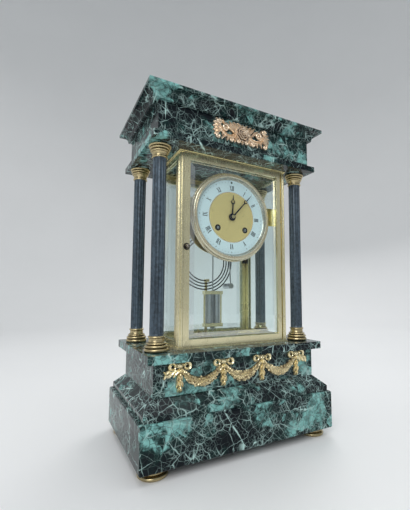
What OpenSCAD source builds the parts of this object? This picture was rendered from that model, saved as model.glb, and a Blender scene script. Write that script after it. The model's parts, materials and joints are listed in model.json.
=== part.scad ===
// Portico mantel clock: a glazed pendulum case between four fluted columns,
// on a stepped marble plinth and under a marble entablature.
// Millimetres, +Z up, front towards -Y, origin under the middle of the feet.

/* [Plinth] */
// Height of the turned feet
foot_h = 9.5; // [6:0.5:16]
// Largest radius of a foot
foot_r = 16.5; // [12:0.5:18]
// Distance of a foot's axis from the plinth's edges
foot_inset = 20; // [18:0.5:30]
// Width of the lower plinth
plinth_w = 264; // [250:1:300]
// Depth of the lower plinth
plinth_d = 164; // [150:1:190]
// Height of the lower plinth
plinth_h = 48.5; // [30:0.5:70]
// Wall of the hollow lower plinth
plinth_wall = 20; // [14:0.5:20]
// Radius of the lower plinth's long edges
plinth_round = 2.5; // [1:0.5:5]
// Inset of the fillet above the lower plinth
fillet_inset = 4; // [2:0.5:8]
// Height of the fillet
fillet_h = 7; // [4:0.5:12]
// Height of the sloped band above the fillet
slope_h = 12.5; // [8:0.5:18]
// Inset of the upper plinth from the lower one, front and back
upper_inset = 18; // [14:0.5:18]
// Distance of the upper plinth's ends from the column axes
upper_end = 9; // [8:0.5:14]
// Height of the upper plinth
upper_h = 37; // [28:0.5:60]
// Overhang of the podium slab
slab_overhang = 9; // [4:0.5:12]
// Thickness of the podium slab
slab_h = 9.5; // [6:0.5:14]

/* [Columns] */
// Distance between the column axes across the front
column_span_x = 210; // [206:0.5:214]
// Distance between the column axes along the side
column_span_y = 89; // [80:0.5:96]
// Height of a column with its base and capital
column_h = 244; // [220:1:280]
// Radius of the fluted shaft
shaft_r = 8.3; // [7:0.1:9]
// Number of flutes
flute_count = 16; // [8:1:18]
// Radius of a flute
flute_r = 1.15; // [0.6:0.05:1.3]
// Height of a column base
base_h = 18; // [16:0.5:24]
// Radius of a column base
base_r = 14; // [12.5:0.1:14.5]
// Height of a capital
capital_h = 16.5; // [15:0.5:22]
// Radius of a capital
capital_r = 13.7; // [12.5:0.1:14.5]
// Radius of the tie rods inside the columns
rod_r = 2.5; // [1.5:0.1:3]

/* [Entablature] */
// Overhang of the architrave lip beyond the frieze
lip_overhang = 7; // [5:0.5:9]
// Height of the architrave lip
lip_h = 7.5; // [5:0.5:12]
// Width of the frieze
frieze_w = 228; // [226:1:236]
// Depth of the frieze
frieze_d = 128; // [118:1:136]
// Height of the frieze block
frieze_h = 34; // [24:0.5:50]
// Overhang of the cornice's underside beyond the frieze
soffit = 4.5; // [2:0.5:8]
// Radius of the cornice's hollow
cavetto_r = 11; // [7:0.5:14]
// Thickness of the cornice's top fillet
cornice_fillet = 4.5; // [3:0.5:8]

/* [Glazed case] */
// Width of the glazed case
case_w = 161; // [156:0.5:164]
// Depth of the glazed case
case_d = 101; // [101:0.5:106]
// Front width of a corner post
post_w = 5; // [4.6:0.1:6]
// Depth of a corner post
post_d = 14; // [12.5:0.5:14.5]
// Thickness of the top and bottom frame plates
frame_t = 3; // [2.5:0.1:5]
// Lip of the frame plates beyond the case
frame_lip = 1.5; // [0.5:0.1:2.5]
// Height of the side rails
rail_h = 7; // [5:0.5:10]
// Thickness of the side glasses
side_glass_t = 2.5; // [2:0.1:2.6]

/* [Doors] */
// Thickness of a door
door_t = 5; // [4.5:0.1:5.4]
// Width of the door stiles and rails
stile_w = 8; // [7.5:0.1:10]
// Thickness of the door glass
door_glass_t = 2.5; // [2:0.1:3]
// Width of the bevel ground on the door glass
glass_bevel = 9; // [5:0.5:14]
// Depth of that bevel at the glass edge
bevel_drop = 1.2; // [0.6:0.1:1.4]
// Radius of a hinge pin
pin_r = 1.2; // [0.8:0.1:1.5]
// Height of the door knob above the podium
knob_z = 123; // [100:1:155]
// Radius of the knob
knob_r = 2.8; // [2:0.1:3.4]
// Length of the latch blade from its axis
blade_l = 7; // [6.4:0.1:7.2]

/* [Dial] */
// Height of the dial's centre above the podium
dial_rise = 169.7; // [165:0.1:180]
// Depth of the dial's face behind the case front
dial_setback = 13; // [12.5:0.1:14]
// Outer radius of the enamel ring
enamel_r = 51.8; // [50:0.1:54]
// Inner radius of the enamel ring
enamel_inner_r = 34.9; // [34:0.1:38]
// Outer radius of the bezel
bezel_r = 61; // [58:0.1:63]
// Reach of the bezel in front of the dial
bezel_reach = 5.5; // [3:0.1:6]
// Distance between the winding holes
winding_span = 42.5; // [40:0.1:44]
// Drop of the winding holes below the centre
winding_drop = 16; // [14:0.1:20]
// Radius of a winding hole
winding_hole_r = 3.6; // [3:0.1:4.5]
// Radius of the regulating hole above the twelve
regulator_hole_r = 1.6; // [1:0.1:2]
// Length of the minute hand from its axis
minute_hand_l = 45; // [40:0.5:49]
// Length of the hour hand from its axis
hour_hand_l = 31; // [26:0.5:34]
// Angle of the minute hand past twelve
minute_angle = 42; // [0:1:180]
// Angle of the hour hand past twelve
hour_angle = 3.5; // [0:0.5:180]

/* [Movement] */
// Radius of the round plates
plate_r = 46; // [45.8:0.1:50]
// Thickness of the plates
plate_t = 2; // [1.5:0.1:3]
// Space between the plates
plate_gap = 36; // [34:0.5:37]
// Space between the dial plate and the front plate
motion_gap = 6; // [6:0.1:7]
// Radius of a barrel
barrel_r = 14; // [12:0.1:14.3]
// Length of a barrel
barrel_l = 24; // [16:0.5:25]
// Radius of a winding arbor
arbor_r = 2.5; // [2:0.1:2.8]
// Radius of the escape wheel
escape_r = 11; // [9:0.1:11.2]
// Height of the escape wheel's axis above the dial's centre
escape_rise = 21; // [20.5:0.1:22]
// Height of the pallet arbor above the dial's centre
pallet_rise = 41; // [40.5:0.1:42]

/* [Pendulum and gong] */
// Distance of the pendulum behind the back plate
pendulum_gap = 6.5; // [6:0.1:7]
// Height of the pendulum bob's underside above the podium
bob_rise = 18; // [15:0.5:30]
// Height of the pendulum bob
bob_h = 52; // [40:1:60]
// Width of the pendulum bob
bob_w = 30; // [28:0.5:40]
// Radius of a bob vial
vial_r = 5; // [4:0.1:5.4]
// Number of half turns of the gong
gong_half_turns = 8; // [4:2:9]
// Radius of the gong's inner turn
gong_inner_r = 31; // [28:0.5:33]
// Distance between the gong's turns
gong_pitch = 4.4; // [3.5:0.1:4.6]
// Radius of the gong wire
gong_wire_r = 0.9; // [0.7:0.05:1.1]
// Drop of the gong's centre below the dial's centre
gong_drop = 53; // [50:0.5:55]
// Distance of the gong's centre to the left of the middle
gong_offset = 8; // [4:0.5:12]
// Distance of the gong behind the back plate
gong_gap = 18.4; // [18:0.1:19]
// Distance of the hammer's axis to the right of the middle
hammer_x = 26; // [24:0.5:28]
// Drop of the hammer's axis below the dial's centre
hammer_drop = 23; // [20:0.5:26]

/* [Mounts] */
// Relief of the gilt mounts
mount_t = 3; // [1.5:0.1:6]
// Distance between the ribbon bows
bow_pitch = 56; // [50:0.5:60]
// Height of the bows above the upper plinth's foot
bow_rise = 29; // [26:0.5:31]
// Sag of a swag below its bows
swag_sag = 18.5; // [12:0.5:20]
// Width of the frieze mount
frieze_mount_w = 88; // [70:1:110]
// Height of the frieze mount's middle above the architrave lip
frieze_mount_rise = 23; // [18:0.5:26]

/* [Fits] */
// Gap between pieces that move past each other
moving_gap = 0.3; // [0.2:0.05:0.5]
// Radial clearance of a running pivot
running_fit = 0.05; // [0.02:0.01:0.1]
// Clearance of a glass in its groove or rebate
glass_fit = 0.1; // [0.05:0.01:0.2]
// Radial clearance of a tie rod in the marble and brass
rod_fit = 0.4; // [0.2:0.05:0.6]

/* [Hidden] */
$fn = 48;
eps = 0.01;
far = 400;

z_step = foot_h + plinth_h;
z_upper = z_step + fillet_h + slope_h;
z_slab = z_upper + upper_h;
z_podium = z_slab + slab_h;
z_lip = z_podium + column_h;
cove_r = lip_overhang - 2;
z_frieze = z_lip + lip_h + cove_r;
z_cornice = z_frieze + frieze_h;

upper_w = column_span_x + 2 * upper_end;
upper_d = plinth_d - 2 * upper_inset;
slab_w = upper_w + 2 * slab_overhang;
slab_d = upper_d + 2 * slab_overhang;
cornice_w = frieze_w + 2 * (soffit + cavetto_r);
cornice_d = frieze_d + 2 * (soffit + cavetto_r);
lip_w = frieze_w + 2 * lip_overhang;
lip_d = frieze_d + 2 * lip_overhang;

column_x = column_span_x / 2;
column_y = column_span_y / 2;
corner_signs = [[-1, -1], [1, -1], [-1, 1], [1, 1]];
rod_hole_r = rod_r + rod_fit;
nut_r = 5;
nut_h = 4;
washer_h = 1.2;
nut_pocket_r = nut_r + 0.6;
nut_pocket_h = nut_h + washer_h + 3;
rod_end = 2;

z_case = z_podium + frame_t;
z_case_top = z_lip - frame_t;
case_x = case_w / 2;
case_y = case_d / 2;
post_x = case_x - post_w;
post_y = case_y - post_d;
groove_depth = 2.5;
groove_w = side_glass_t + 2 * glass_fit;
glass_x = case_x - post_w / 2;

door_x = post_x - moving_gap;
door_front = -case_y;
door_back = door_front + door_t;
door_z0 = z_case + moving_gap;
door_z1 = z_case_top - moving_gap;
door_h = door_z1 - door_z0;
rebate = 1.7;
hinge_x = door_x - door_t / 2;
hinge_y = door_front + door_t / 2;
pin_in_door = 6;
pin_in_frame = 2;
latch_x = -(door_x - stile_w / 2);
latch_z = z_podium + knob_z;
shaft_pin_r = 1.2;
blade_t = 1.8;
blade_w = 3;
blade_y = door_back + 2 * moving_gap;

dial_z = z_podium + dial_rise;
dial_y = door_front + dial_setback;
enamel_t = 1.6;
dial_plate_t = 1.5;
dial_plate_y = dial_y + enamel_t;
dial_plate_r = bezel_r - 1;
front_plate_y = dial_plate_y + dial_plate_t + motion_gap;
back_plate_y = front_plate_y + plate_t + plate_gap;
back_y = back_plate_y + plate_t;
winding_x = winding_span / 2;
winding_z = dial_z - winding_drop;
winding_end_y = dial_y - 0.5;
wheel_t = 1.3;
motion_y = front_plate_y - 0.3;
hour_wheel_y = motion_y - wheel_t - 1;
motion_module = 0.5;
cannon_teeth = 12;
minute_teeth = 36;
motion_distance = (cannon_teeth + minute_teeth) * motion_module / 2;
pinion_teeth = 10;
hour_teeth = 40;
hour_module = 2 * motion_distance / (pinion_teeth + hour_teeth);
stud_r = 1.2;
cannon_r = 2.1;
pipe_bore_r = cannon_r + 0.3;
pipe_r = pipe_bore_r + 0.9;
hand_t = 0.8;
hour_hand_y = dial_y - 1.1 - hand_t;
minute_hand_y = hour_hand_y - 1 - hand_t;
hand_pin_r = 1.5;
pillar_r = 3;
pillar_angles = [0, 60, 120, 180, 270];
pillar_ring_r = plate_r - 5;
barrel_y = front_plate_y + plate_t + 6;
pivot_r = 0.9;
centre_wheel_r = 16.6;
centre_teeth = 64;
barrel_teeth = 60;
tooth_h = 1;
escape_z = dial_z + escape_rise;
pallet_z = dial_z + pallet_rise;
escape_y = barrel_y + barrel_l / 2;
pendulum_y = back_y + pendulum_gap;
pendulum_rod_r = 0.9;
spring_w = 3;
spring_t = 0.4;
crutch_t = 1.2;
crutch_hub_r = 2.2;
crutch_y = back_y + 1.5;
fork_z = dial_z - 4;
bob_z = z_podium + bob_rise;
bob_bar_h = 5;
bob_bar_d = 8;
bob_pillar_r = 1.2;
gong_y = back_y + gong_gap;
gong_x = -gong_offset;
gong_z = dial_z - gong_drop;
gong_outer_r = gong_inner_r + (gong_half_turns - 1) * gong_pitch / 2;
gong_block_x = gong_x + 2 * gong_wire_r;
gong_block_w = 5;
gong_post_r = 2;
gong_post_y = gong_y + gong_wire_r + gong_post_r + 0.6;
gong_block_h = 4;
gong_block_d = 3;
gong_foot_w = 16;
gong_foot_d = 8;
gong_foot_t = 4;
hammer_z = dial_z - hammer_drop;
hammer_head_r = 4;
hammer_arbor_r = 1.2;
hammer_arm_r = 1;
hammer_boss_r = 2.6;
hammer_gap = 1;
hammer_reach = (gong_outer_r + gong_wire_r + hammer_gap + hammer_head_r) * sin(45);
hammer_head_x = gong_x + hammer_reach;
hammer_head_z = gong_z + gong_centre(gong_half_turns - 1) - hammer_reach;

foot_neck = 4.5;
rosette_r = 12.5;
rosette_button_r = 7;
button_t = 1.5;
scroll_r = 9.5;
leaf_r = 8;
bud_r = 6.6;
shell_r = 7;
lobe_r = 3;
lobe_out = 4;
curl_r = 4.5;
curl_rise = 8;
eye_r = 4.4;
eye_step = 0.7;
eye_t = 1;
sway = 2;
bow_loop_r = 5;
bow_eye_r = 2.2;
bow_reach = 7;
bow_lift = 2.2;
bow_tail = 11;
bow_tail_w = 3.5;
knot_r = 3.6;
drop_l = 25;
drop_stem = 2.8;
drop_r = 3.6;
drop_start = 9;
drop_lap = 0.5;
drop_pitch = 2 * drop_r - eye_step - drop_lap;
swag_end = 3;
swag_w = 4;
blossom_r = 4.6;
ribbon_l = 18;
ribbon_w = 4;

marble = "darkslategray";
brass = "goldenrod";
gilt = "gold";
dark_bronze = "dimgray";
steel = "steelblue";
clear = [0.8, 0.9, 0.95, 0.35];

// Shared shapes

// Block whose section runs round all four sides and meets in mitres.
// The section reads its half width as $half and the half width of what stands on it as $inner.
module mitred(w, d, inner_w = 0, inner_d = 0) {
    intersection() {
        rotate([90, 0, 0]) linear_extrude(d, center = true)
            let($half = w / 2, $inner = inner_w / 2) children();
        rotate([90, 0, 90]) linear_extrude(w, center = true)
            let($half = d / 2, $inner = inner_d / 2) children();
    }
}

// Straight-sided block standing on z
module slab_at(w, d, h, z) {
    translate([-w / 2, -d / 2, z]) cube([w, d, h]);
}

module at_columns() {
    for (s = corner_signs) translate([s.x * column_x, s.y * column_y, 0]) children();
}

module rod_holes(z, h) {
    at_columns() translate([0, 0, z]) cylinder(r = rod_hole_r, h = h);
}

// Room for the nuts and washers at the ends of the tie rods
module nut_pockets(z, h) {
    at_columns() translate([0, 0, z]) cylinder(r = nut_pocket_r, h = h);
}

// Extrudes an outline drawn in x and z so that it lies between y0 and y1
module facing(y0, y1) {
    translate([0, y1, 0]) rotate([90, 0, 0]) linear_extrude(y1 - y0) children();
}

module disc(r, y0, y1, x = 0, z = 0) {
    translate([x, y1, z]) rotate([90, 0, 0]) cylinder(r = r, h = y1 - y0);
}

// Outline of a toothed wheel with a tooth on the x axis, turned by a share of a pitch
function teeth(count, root_r, tip_r, share) = [
    for (i = [0:count - 1])
        for (p = [[-0.3, root_r], [-0.17, tip_r], [0.17, tip_r], [0.3, root_r]])
            p.y * [cos((i + p.x + share) * 360 / count), sin((i + p.x + share) * 360 / count)]
];

module wheel_outline(count, module_size, share = 0) {
    pitch_r = count * module_size / 2;
    polygon(teeth(count, pitch_r - module_size, pitch_r + 0.45 * module_size, share));
}

// Marble

module bun_feet() {
    color(brass)
    for (s = corner_signs)
        translate([s.x * (plinth_w / 2 - foot_inset), s.y * (plinth_d / 2 - foot_inset), 0])
            rotate_extrude() foot_section();
}

module foot_section() {
    disc_h = foot_h * 0.46;
    bead_r = foot_h * 0.14;
    square([foot_r - disc_h / 2, disc_h]);
    translate([foot_r - disc_h / 2, disc_h / 2]) circle(disc_h / 2);
    square([foot_r - foot_neck, foot_h]);
    translate([0, foot_h * 0.56]) square([foot_r - foot_neck + bead_r, 2 * bead_r]);
    translate([foot_r - foot_neck + bead_r, foot_h * 0.56 + bead_r]) circle(bead_r);
}

module lower_plinth() {
    color(marble)
    difference() {
        translate([0, 0, foot_h]) mitred(plinth_w, plinth_d) plinth_section();
        slab_at(plinth_w - 2 * plinth_wall, plinth_d - 2 * plinth_wall, plinth_h + 2, foot_h - 1);
        nut_pockets(z_step - nut_pocket_h, nut_pocket_h + 1);
    }
}

module plinth_section() {
    r = plinth_round;
    translate([-$half + r, 0]) square([2 * ($half - r), plinth_h]);
    translate([-$half, r]) square([2 * $half, plinth_h - 2 * r]);
    for (sx = [-1, 1]) for (z = [r, plinth_h - r]) translate([sx * ($half - r), z]) circle(r);
}

module plinth_step() {
    color(marble)
    difference() {
        translate([0, 0, z_step])
            mitred(plinth_w - 2 * fillet_inset, plinth_d - 2 * fillet_inset, upper_w, upper_d) step_section();
        rod_holes(z_step - 1, far);
    }
}

module step_section() {
    polygon([
        [-$half, 0], [$half, 0], [$half, fillet_h], [$inner, fillet_h + slope_h],
        [-$inner, fillet_h + slope_h], [-$half, fillet_h]
    ]);
}

module upper_plinth() {
    color(marble)
    difference() {
        slab_at(upper_w, upper_d, upper_h, z_upper);
        rod_holes(z_upper - 1, far);
    }
}

module podium_slab() {
    color(marble)
    difference() {
        slab_at(slab_w, slab_d, slab_h, z_slab);
        rod_holes(z_slab - 1, far);
    }
}

module architrave() {
    color(marble)
    difference() {
        translate([0, 0, z_lip]) mitred(lip_w, lip_d) architrave_section();
        rod_holes(z_lip - 1, far);
    }
}

module architrave_section() {
    frieze_half = $half - lip_overhang;
    translate([-$half, 0]) square([2 * $half, lip_h]);
    difference() {
        translate([-frieze_half - cove_r, lip_h - eps]) square([2 * (frieze_half + cove_r), cove_r + eps]);
        for (sx = [-1, 1]) translate([sx * (frieze_half + cove_r), lip_h + cove_r]) circle(cove_r);
    }
}

module frieze() {
    color(marble)
    difference() {
        slab_at(frieze_w, frieze_d, frieze_h, z_frieze);
        nut_pockets(z_frieze - 1, nut_pocket_h + 1);
    }
}

module cornice() {
    color(marble)
    translate([0, 0, z_cornice]) mitred(cornice_w, cornice_d) cornice_section();
}

module cornice_section() {
    neck_half = $half - cavetto_r;
    difference() {
        translate([-$half, 0]) square([2 * $half, cavetto_r + cornice_fillet]);
        for (sx = [-1, 1]) translate([sx * (neck_half + cavetto_r), 0]) circle(cavetto_r);
    }
}

// Columns

module column_shaft(s) {
    color(dark_bronze)
    translate([s.x * column_x, s.y * column_y, z_podium + base_h])
        linear_extrude(column_h - base_h - capital_h) difference() {
            circle(shaft_r);
            for (i = [0:flute_count - 1]) rotate(i * 360 / flute_count) translate([shaft_r, 0]) circle(flute_r);
            circle(rod_hole_r);
        }
}

module column_shaft_front_left() { column_shaft(corner_signs[0]); }
module column_shaft_front_right() { column_shaft(corner_signs[1]); }
module column_shaft_rear_left() { column_shaft(corner_signs[2]); }
module column_shaft_rear_right() { column_shaft(corner_signs[3]); }

module column_bases() {
    color(brass)
    at_columns() translate([0, 0, z_podium]) difference() {
        rotate_extrude() base_section();
        translate([0, 0, -1]) cylinder(r = rod_hole_r, h = base_h + 2);
    }
}

module base_section() {
    disc_h = 2.6;
    torus_r = 2.2;
    ring_h = 1.6;
    cove = base_r - 2 - shaft_r - 0.6;
    z_cove = disc_h + 2 * torus_r + ring_h;
    neck_h = base_h - z_cove;
    square([base_r, disc_h]);
    translate([0, disc_h]) square([base_r - torus_r - 0.4, 2 * torus_r]);
    translate([base_r - torus_r - 0.4, disc_h + torus_r]) circle(torus_r);
    translate([0, disc_h + 2 * torus_r]) square([base_r - 2, ring_h]);
    translate([0, z_cove]) square([shaft_r + 0.6, neck_h]);
    difference() {
        translate([0, z_cove]) square([shaft_r + 0.6 + cove, cove]);
        translate([shaft_r + 0.6 + cove, z_cove + cove]) circle(cove);
    }
    translate([shaft_r + 0.4, base_h - 1.2]) circle(1.2);
}

module column_capitals() {
    color(brass)
    at_columns() translate([0, 0, z_lip - capital_h]) difference() {
        rotate_extrude() capital_section();
        translate([0, 0, -1]) cylinder(r = rod_hole_r, h = capital_h + 2);
    }
}

module capital_section() {
    bead_r = 1.1;
    ring_h = (capital_h - 2 * bead_r - 5) / 3;
    square([shaft_r + 0.4, capital_h]);
    translate([shaft_r + 0.4, bead_r]) circle(bead_r);
    polygon([
        [0, 2 * bead_r], [shaft_r + 0.4, 2 * bead_r], [shaft_r + 2.2, 2 * bead_r + 5], [0, 2 * bead_r + 5]
    ]);
    for (i = [0:2]) {
        r = capital_r - (2 - i) * 1.3;
        z = 2 * bead_r + 5 + i * ring_h;
        translate([0, z]) square([r - ring_h / 2, ring_h]);
        translate([r - ring_h / 2, z + ring_h / 2]) circle(ring_h / 2);
    }
}

module tie_rods() {
    z0 = z_step - washer_h - nut_h - rod_end;
    z1 = z_frieze + washer_h + nut_h + rod_end;
    color(dark_bronze)
    at_columns() translate([0, 0, z0]) cylinder(r = rod_r, h = z1 - z0);
}

module tie_nuts() {
    color(dark_bronze)
    at_columns() {
        translate([0, 0, z_step - washer_h - nut_h]) tie_nut();
        translate([0, 0, z_frieze + washer_h + nut_h]) mirror([0, 0, 1]) tie_nut();
    }
}

module tie_nut() {
    difference() {
        union() {
            cylinder(r = nut_r, h = nut_h, $fn = 6);
            translate([0, 0, nut_h]) cylinder(r = nut_r, h = washer_h);
        }
        translate([0, 0, -1]) cylinder(r = rod_r, h = nut_h + washer_h + 2);
    }
}

// Glazed case

module case_frame() {
    step = frame_t / 2;
    difference() {
        union() {
            slab_at(2 * (case_x + frame_lip), 2 * (case_y + frame_lip), step, 0);
            slab_at(2 * (case_x + frame_lip / 2), 2 * (case_y + frame_lip / 2), frame_t - step, step);
            for (s = [-1, 1])
                translate([s > 0 ? post_x : -case_x, -post_y, frame_t]) cube([post_w, 2 * post_y, rail_h]);
        }
        slab_at(2 * post_x, 2 * post_y, far, -1);
        for (s = [-1, 1])
            translate([s * glass_x - groove_w / 2, -post_y - 1, frame_t + rail_h - groove_depth])
                cube([groove_w, 2 * post_y + 2, far]);
        pin_bores();
    }
}

module pin_bores() {
    for (s = [-1, 1]) translate([-s * hinge_x, -s * hinge_y, -1]) cylinder(r = pin_r + running_fit, h = far);
}

module case_bottom_frame() {
    color(brass) translate([0, 0, z_podium]) case_frame();
}

module case_top_frame() {
    color(brass) translate([0, 0, z_lip]) rotate([180, 0, 0]) mirror([0, 1, 0]) case_frame();
}

module case_posts() {
    color(brass)
    difference() {
        for (s = corner_signs) scale([s.x, s.y, 1]) translate([0, 0, z_case]) linear_extrude(z_case_top - z_case)
            post_outline();
        latch_slot();
        rotate([0, 0, 180]) latch_slot();
    }
}

// Section of the post at the rear right corner
module post_outline() {
    flute = 1;
    difference() {
        translate([post_x, post_y]) square([post_w, post_d]);
        translate([glass_x - groove_w / 2, post_y - 1]) square([groove_w, groove_depth + 1]);
        for (y = [3, 6]) translate([case_x, case_y - y]) circle(flute * 0.8);
        translate([case_x - 2, case_y]) circle(flute * 0.6);
    }
}

module latch_slot() {
    reach = norm([blade_l, blade_w / 2]) + moving_gap;
    x0 = latch_x - reach;
    translate([x0, blade_y - moving_gap, latch_z - reach])
        cube([1 - post_x - x0, blade_t + 2 * moving_gap, reach + blade_w / 2 + moving_gap]);
}

module side_glass(s) {
    y = post_y + groove_depth - glass_fit;
    edge = frame_t + rail_h - groove_depth + glass_fit;
    color(clear)
    translate([s * glass_x - side_glass_t / 2, -y, z_podium + edge])
        cube([side_glass_t, 2 * y, column_h - 2 * edge]);
}

module side_glass_left() { side_glass(-1); }
module side_glass_right() { side_glass(1); }

// Doors, drawn for the front and turned half round for the rear

module door_frame() {
    difference() {
        union() {
            translate([-door_x, door_front, door_z0]) cube([door_x + hinge_x, door_t, door_h]);
            translate([hinge_x, hinge_y, door_z0]) cylinder(r = door_t / 2, h = door_h);
        }
        window_cut(0, door_front - 1, door_t + 2);
        window_cut(rebate, door_back - door_glass_t - glass_fit, far);
        translate([hinge_x, hinge_y, door_z0 - 1]) cylinder(r = pin_r, h = pin_in_door + 1);
        translate([hinge_x, hinge_y, door_z1 - pin_in_door]) cylinder(r = pin_r, h = far);
        disc(shaft_pin_r + running_fit, door_front - 1, door_back + 1, latch_x, latch_z);
    }
}

// Opening between the stiles and rails, widened all round by grow
module window_cut(grow, y, depth) {
    x = door_x - stile_w + grow;
    margin = stile_w - grow;
    translate([-x, y, door_z0 + margin]) cube([2 * x, depth, door_h - 2 * margin]);
}

module door_glass() {
    x = door_x - stile_w + rebate - glass_fit;
    z0 = door_z0 + stile_w - rebate + glass_fit;
    z1 = door_z1 - stile_w + rebate - glass_fit;
    intersection() {
        translate([0, 0, z0]) linear_extrude(z1 - z0) bevelled_edge(x);
        translate([0, 0, (z0 + z1) / 2]) rotate([0, 90, 0]) linear_extrude(2 * x, center = true)
            bevelled_edge((z1 - z0) / 2);
    }
}

// Section of a bevelled pane, its ground side to the front
module bevelled_edge(half) {
    y1 = door_back;
    y0 = y1 - door_glass_t;
    polygon([
        [-half, y1], [half, y1], [half, y0 + bevel_drop], [half - glass_bevel, y0],
        [glass_bevel - half, y0], [-half, y0 + bevel_drop]
    ]);
}

module door_pins() {
    for (z = [door_z0 + pin_in_door, door_z1 - pin_in_door]) {
        down = z < (door_z0 + door_z1) / 2;
        l = pin_in_door + moving_gap + pin_in_frame;
        translate([hinge_x, hinge_y, down ? z - l : z]) cylinder(r = pin_r, h = l);
    }
}

module door_knob() {
    collar_t = 1;
    stem = 2.4;
    y0 = door_front - moving_gap;
    disc(shaft_pin_r, y0, blade_y + blade_t, latch_x, latch_z);
    disc(knob_r + 0.5, y0 - collar_t, y0, latch_x, latch_z);
    disc(knob_r * 0.5, y0 - collar_t - stem, y0, latch_x, latch_z);
    translate([latch_x, y0 - collar_t - stem, latch_z]) sphere(knob_r);
}

module latch_blade() {
    color(dark_bronze)
    difference() {
        facing(blade_y, blade_y + blade_t) union() {
            translate([latch_x, latch_z]) circle(blade_w / 2 + 0.6);
            translate([latch_x - blade_w / 2, latch_z - blade_l]) square([blade_w, blade_l]);
        }
        disc(shaft_pin_r, blade_y - 1, blade_y + blade_t + 1, latch_x, latch_z);
    }
}

module rear() {
    rotate([0, 0, 180]) children();
}

module front_door_frame() { color(brass) door_frame(); }
module front_door_glass() { color(clear) door_glass(); }
module front_door_pins() { color(steel) door_pins(); }
module front_door_knob() { color(brass) door_knob(); }
module front_latch_blade() { latch_blade(); }
module rear_door_frame() { color(brass) rear() door_frame(); }
module rear_door_glass() { color(clear) rear() door_glass(); }
module rear_door_pins() { color(steel) rear() door_pins(); }
module rear_door_knob() { color(brass) rear() door_knob(); }
module rear_latch_blade() { rear() latch_blade(); }

// Gilt mounts

module frieze_mount() {
    y = -frieze_d / 2;
    z = z_lip + lip_h + frieze_mount_rise;
    half = frieze_mount_w / 2;
    color(gilt)
    translate([0, 0, z]) {
        facing(y - mount_t, y) frieze_mount_outline(half);
        disc(rosette_button_r, y - mount_t - button_t, y - mount_t + eps);
        for (s = [-1, 1]) for (i = [0:2]) disc(
            eye_r - eye_step * i, y - mount_t - eye_t, y - mount_t + eps,
            s * (0.3 + 0.2 * i) * half, i == 1 ? -sway : sway
        );
    }
}

// Rosette between scrolls, leaves and buds, with a lobed shell and a curl at each end
module frieze_mount_outline(half) {
    circle(rosette_r);
    for (s = [-1, 1]) {
        translate([s * half * 0.32, sway / 2]) circle(scroll_r);
        translate([s * half * 0.55, -sway / 2]) circle(leaf_r);
        translate([s * half * 0.74, 0]) circle(bud_r);
        translate([s * (half - shell_r), 0]) circle(shell_r);
        translate([s * (half - curl_r - sway / 2), curl_rise]) circle(curl_r);
        translate([s * (half - shell_r), -curl_rise]) circle(curl_r);
        for (a = [-50, 0, 50]) translate([s * (half - shell_r), 0]) rotate(s > 0 ? a : 180 - a)
            translate([lobe_out, 0]) circle(lobe_r);
    }
}

module swag_mount() {
    y = -upper_d / 2;
    z = z_upper + bow_rise;
    color(gilt)
    translate([0, 0, z]) {
        for (i = [-1:1]) translate([i * bow_pitch, 0, 0]) swag(y);
        for (i = [-1.5:1.5]) translate([i * bow_pitch, 0, 0]) bow(y);
        for (s = [-1, 1]) facing(y - mount_t * 0.6, y) ribbon_end(s);
    }
}

// Garland between two bows: a crescent with a row of blossoms that swell towards the middle
module swag(y) {
    half = bow_pitch / 2 - swag_end;
    r = (half * half + swag_sag * swag_sag) / (2 * swag_sag);
    blossoms = 7;
    reach = asin(half / r);
    facing(y - mount_t * 0.8, y) intersection() {
        difference() {
            translate([0, r - swag_sag]) circle(r + swag_w);
            translate([0, r - swag_sag + swag_w]) circle(r);
        }
        translate([-half, -swag_sag - 2 * swag_w]) square([2 * half, swag_sag + 2 * swag_w]);
    }
    for (i = [0:blossoms - 1]) {
        a = -reach * 0.8 + i * 1.6 * reach / (blossoms - 1);
        disc(
            blossom_r * (1 - abs(a) / reach / 3), y - mount_t - eye_t, y,
            r * sin(a), r - swag_sag - r * cos(a)
        );
    }
}

// Ribbon bow with a knot, two loops, two tails and a hanging drop of three blossoms
module bow(y) {
    facing(y - mount_t * 0.8, y) union() {
        for (s = [-1, 1]) {
            difference() {
                translate([s * bow_reach, bow_lift]) circle(bow_loop_r);
                translate([s * (bow_reach + bow_eye_r / 4), bow_lift]) circle(bow_eye_r);
            }
            polygon([
                [s * knot_r / 3, -knot_r / 3], [s * (bow_reach + bow_tail_w / 2), bow_tail_w / 4 - bow_tail],
                [s * (bow_reach - bow_tail_w / 2), -bow_tail]
            ]);
        }
        translate([-drop_stem / 2, -drop_l]) square([drop_stem, drop_l]);
    }
    disc(knot_r, y - mount_t - eye_t, y, 0, knot_r / 3);
    for (i = [0:2]) disc(drop_r - eye_step * i, y - mount_t, y, 0, -drop_start - drop_pitch * i);
}

module ribbon_end(s) {
    x = s * 1.5 * bow_pitch;
    polygon([
        [x + s * bow_loop_r, -knot_r / 3], [x + s * (ribbon_l - bow_reach), -bow_reach],
        [x + s * (ribbon_l - 1), 1 - bow_reach], [x + s * ribbon_l, ribbon_w / 2 - bow_reach - ribbon_w],
        [x + s * (ribbon_l - bow_reach - 1), -bow_reach - ribbon_w]
    ]);
}

// Dial and hands

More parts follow.
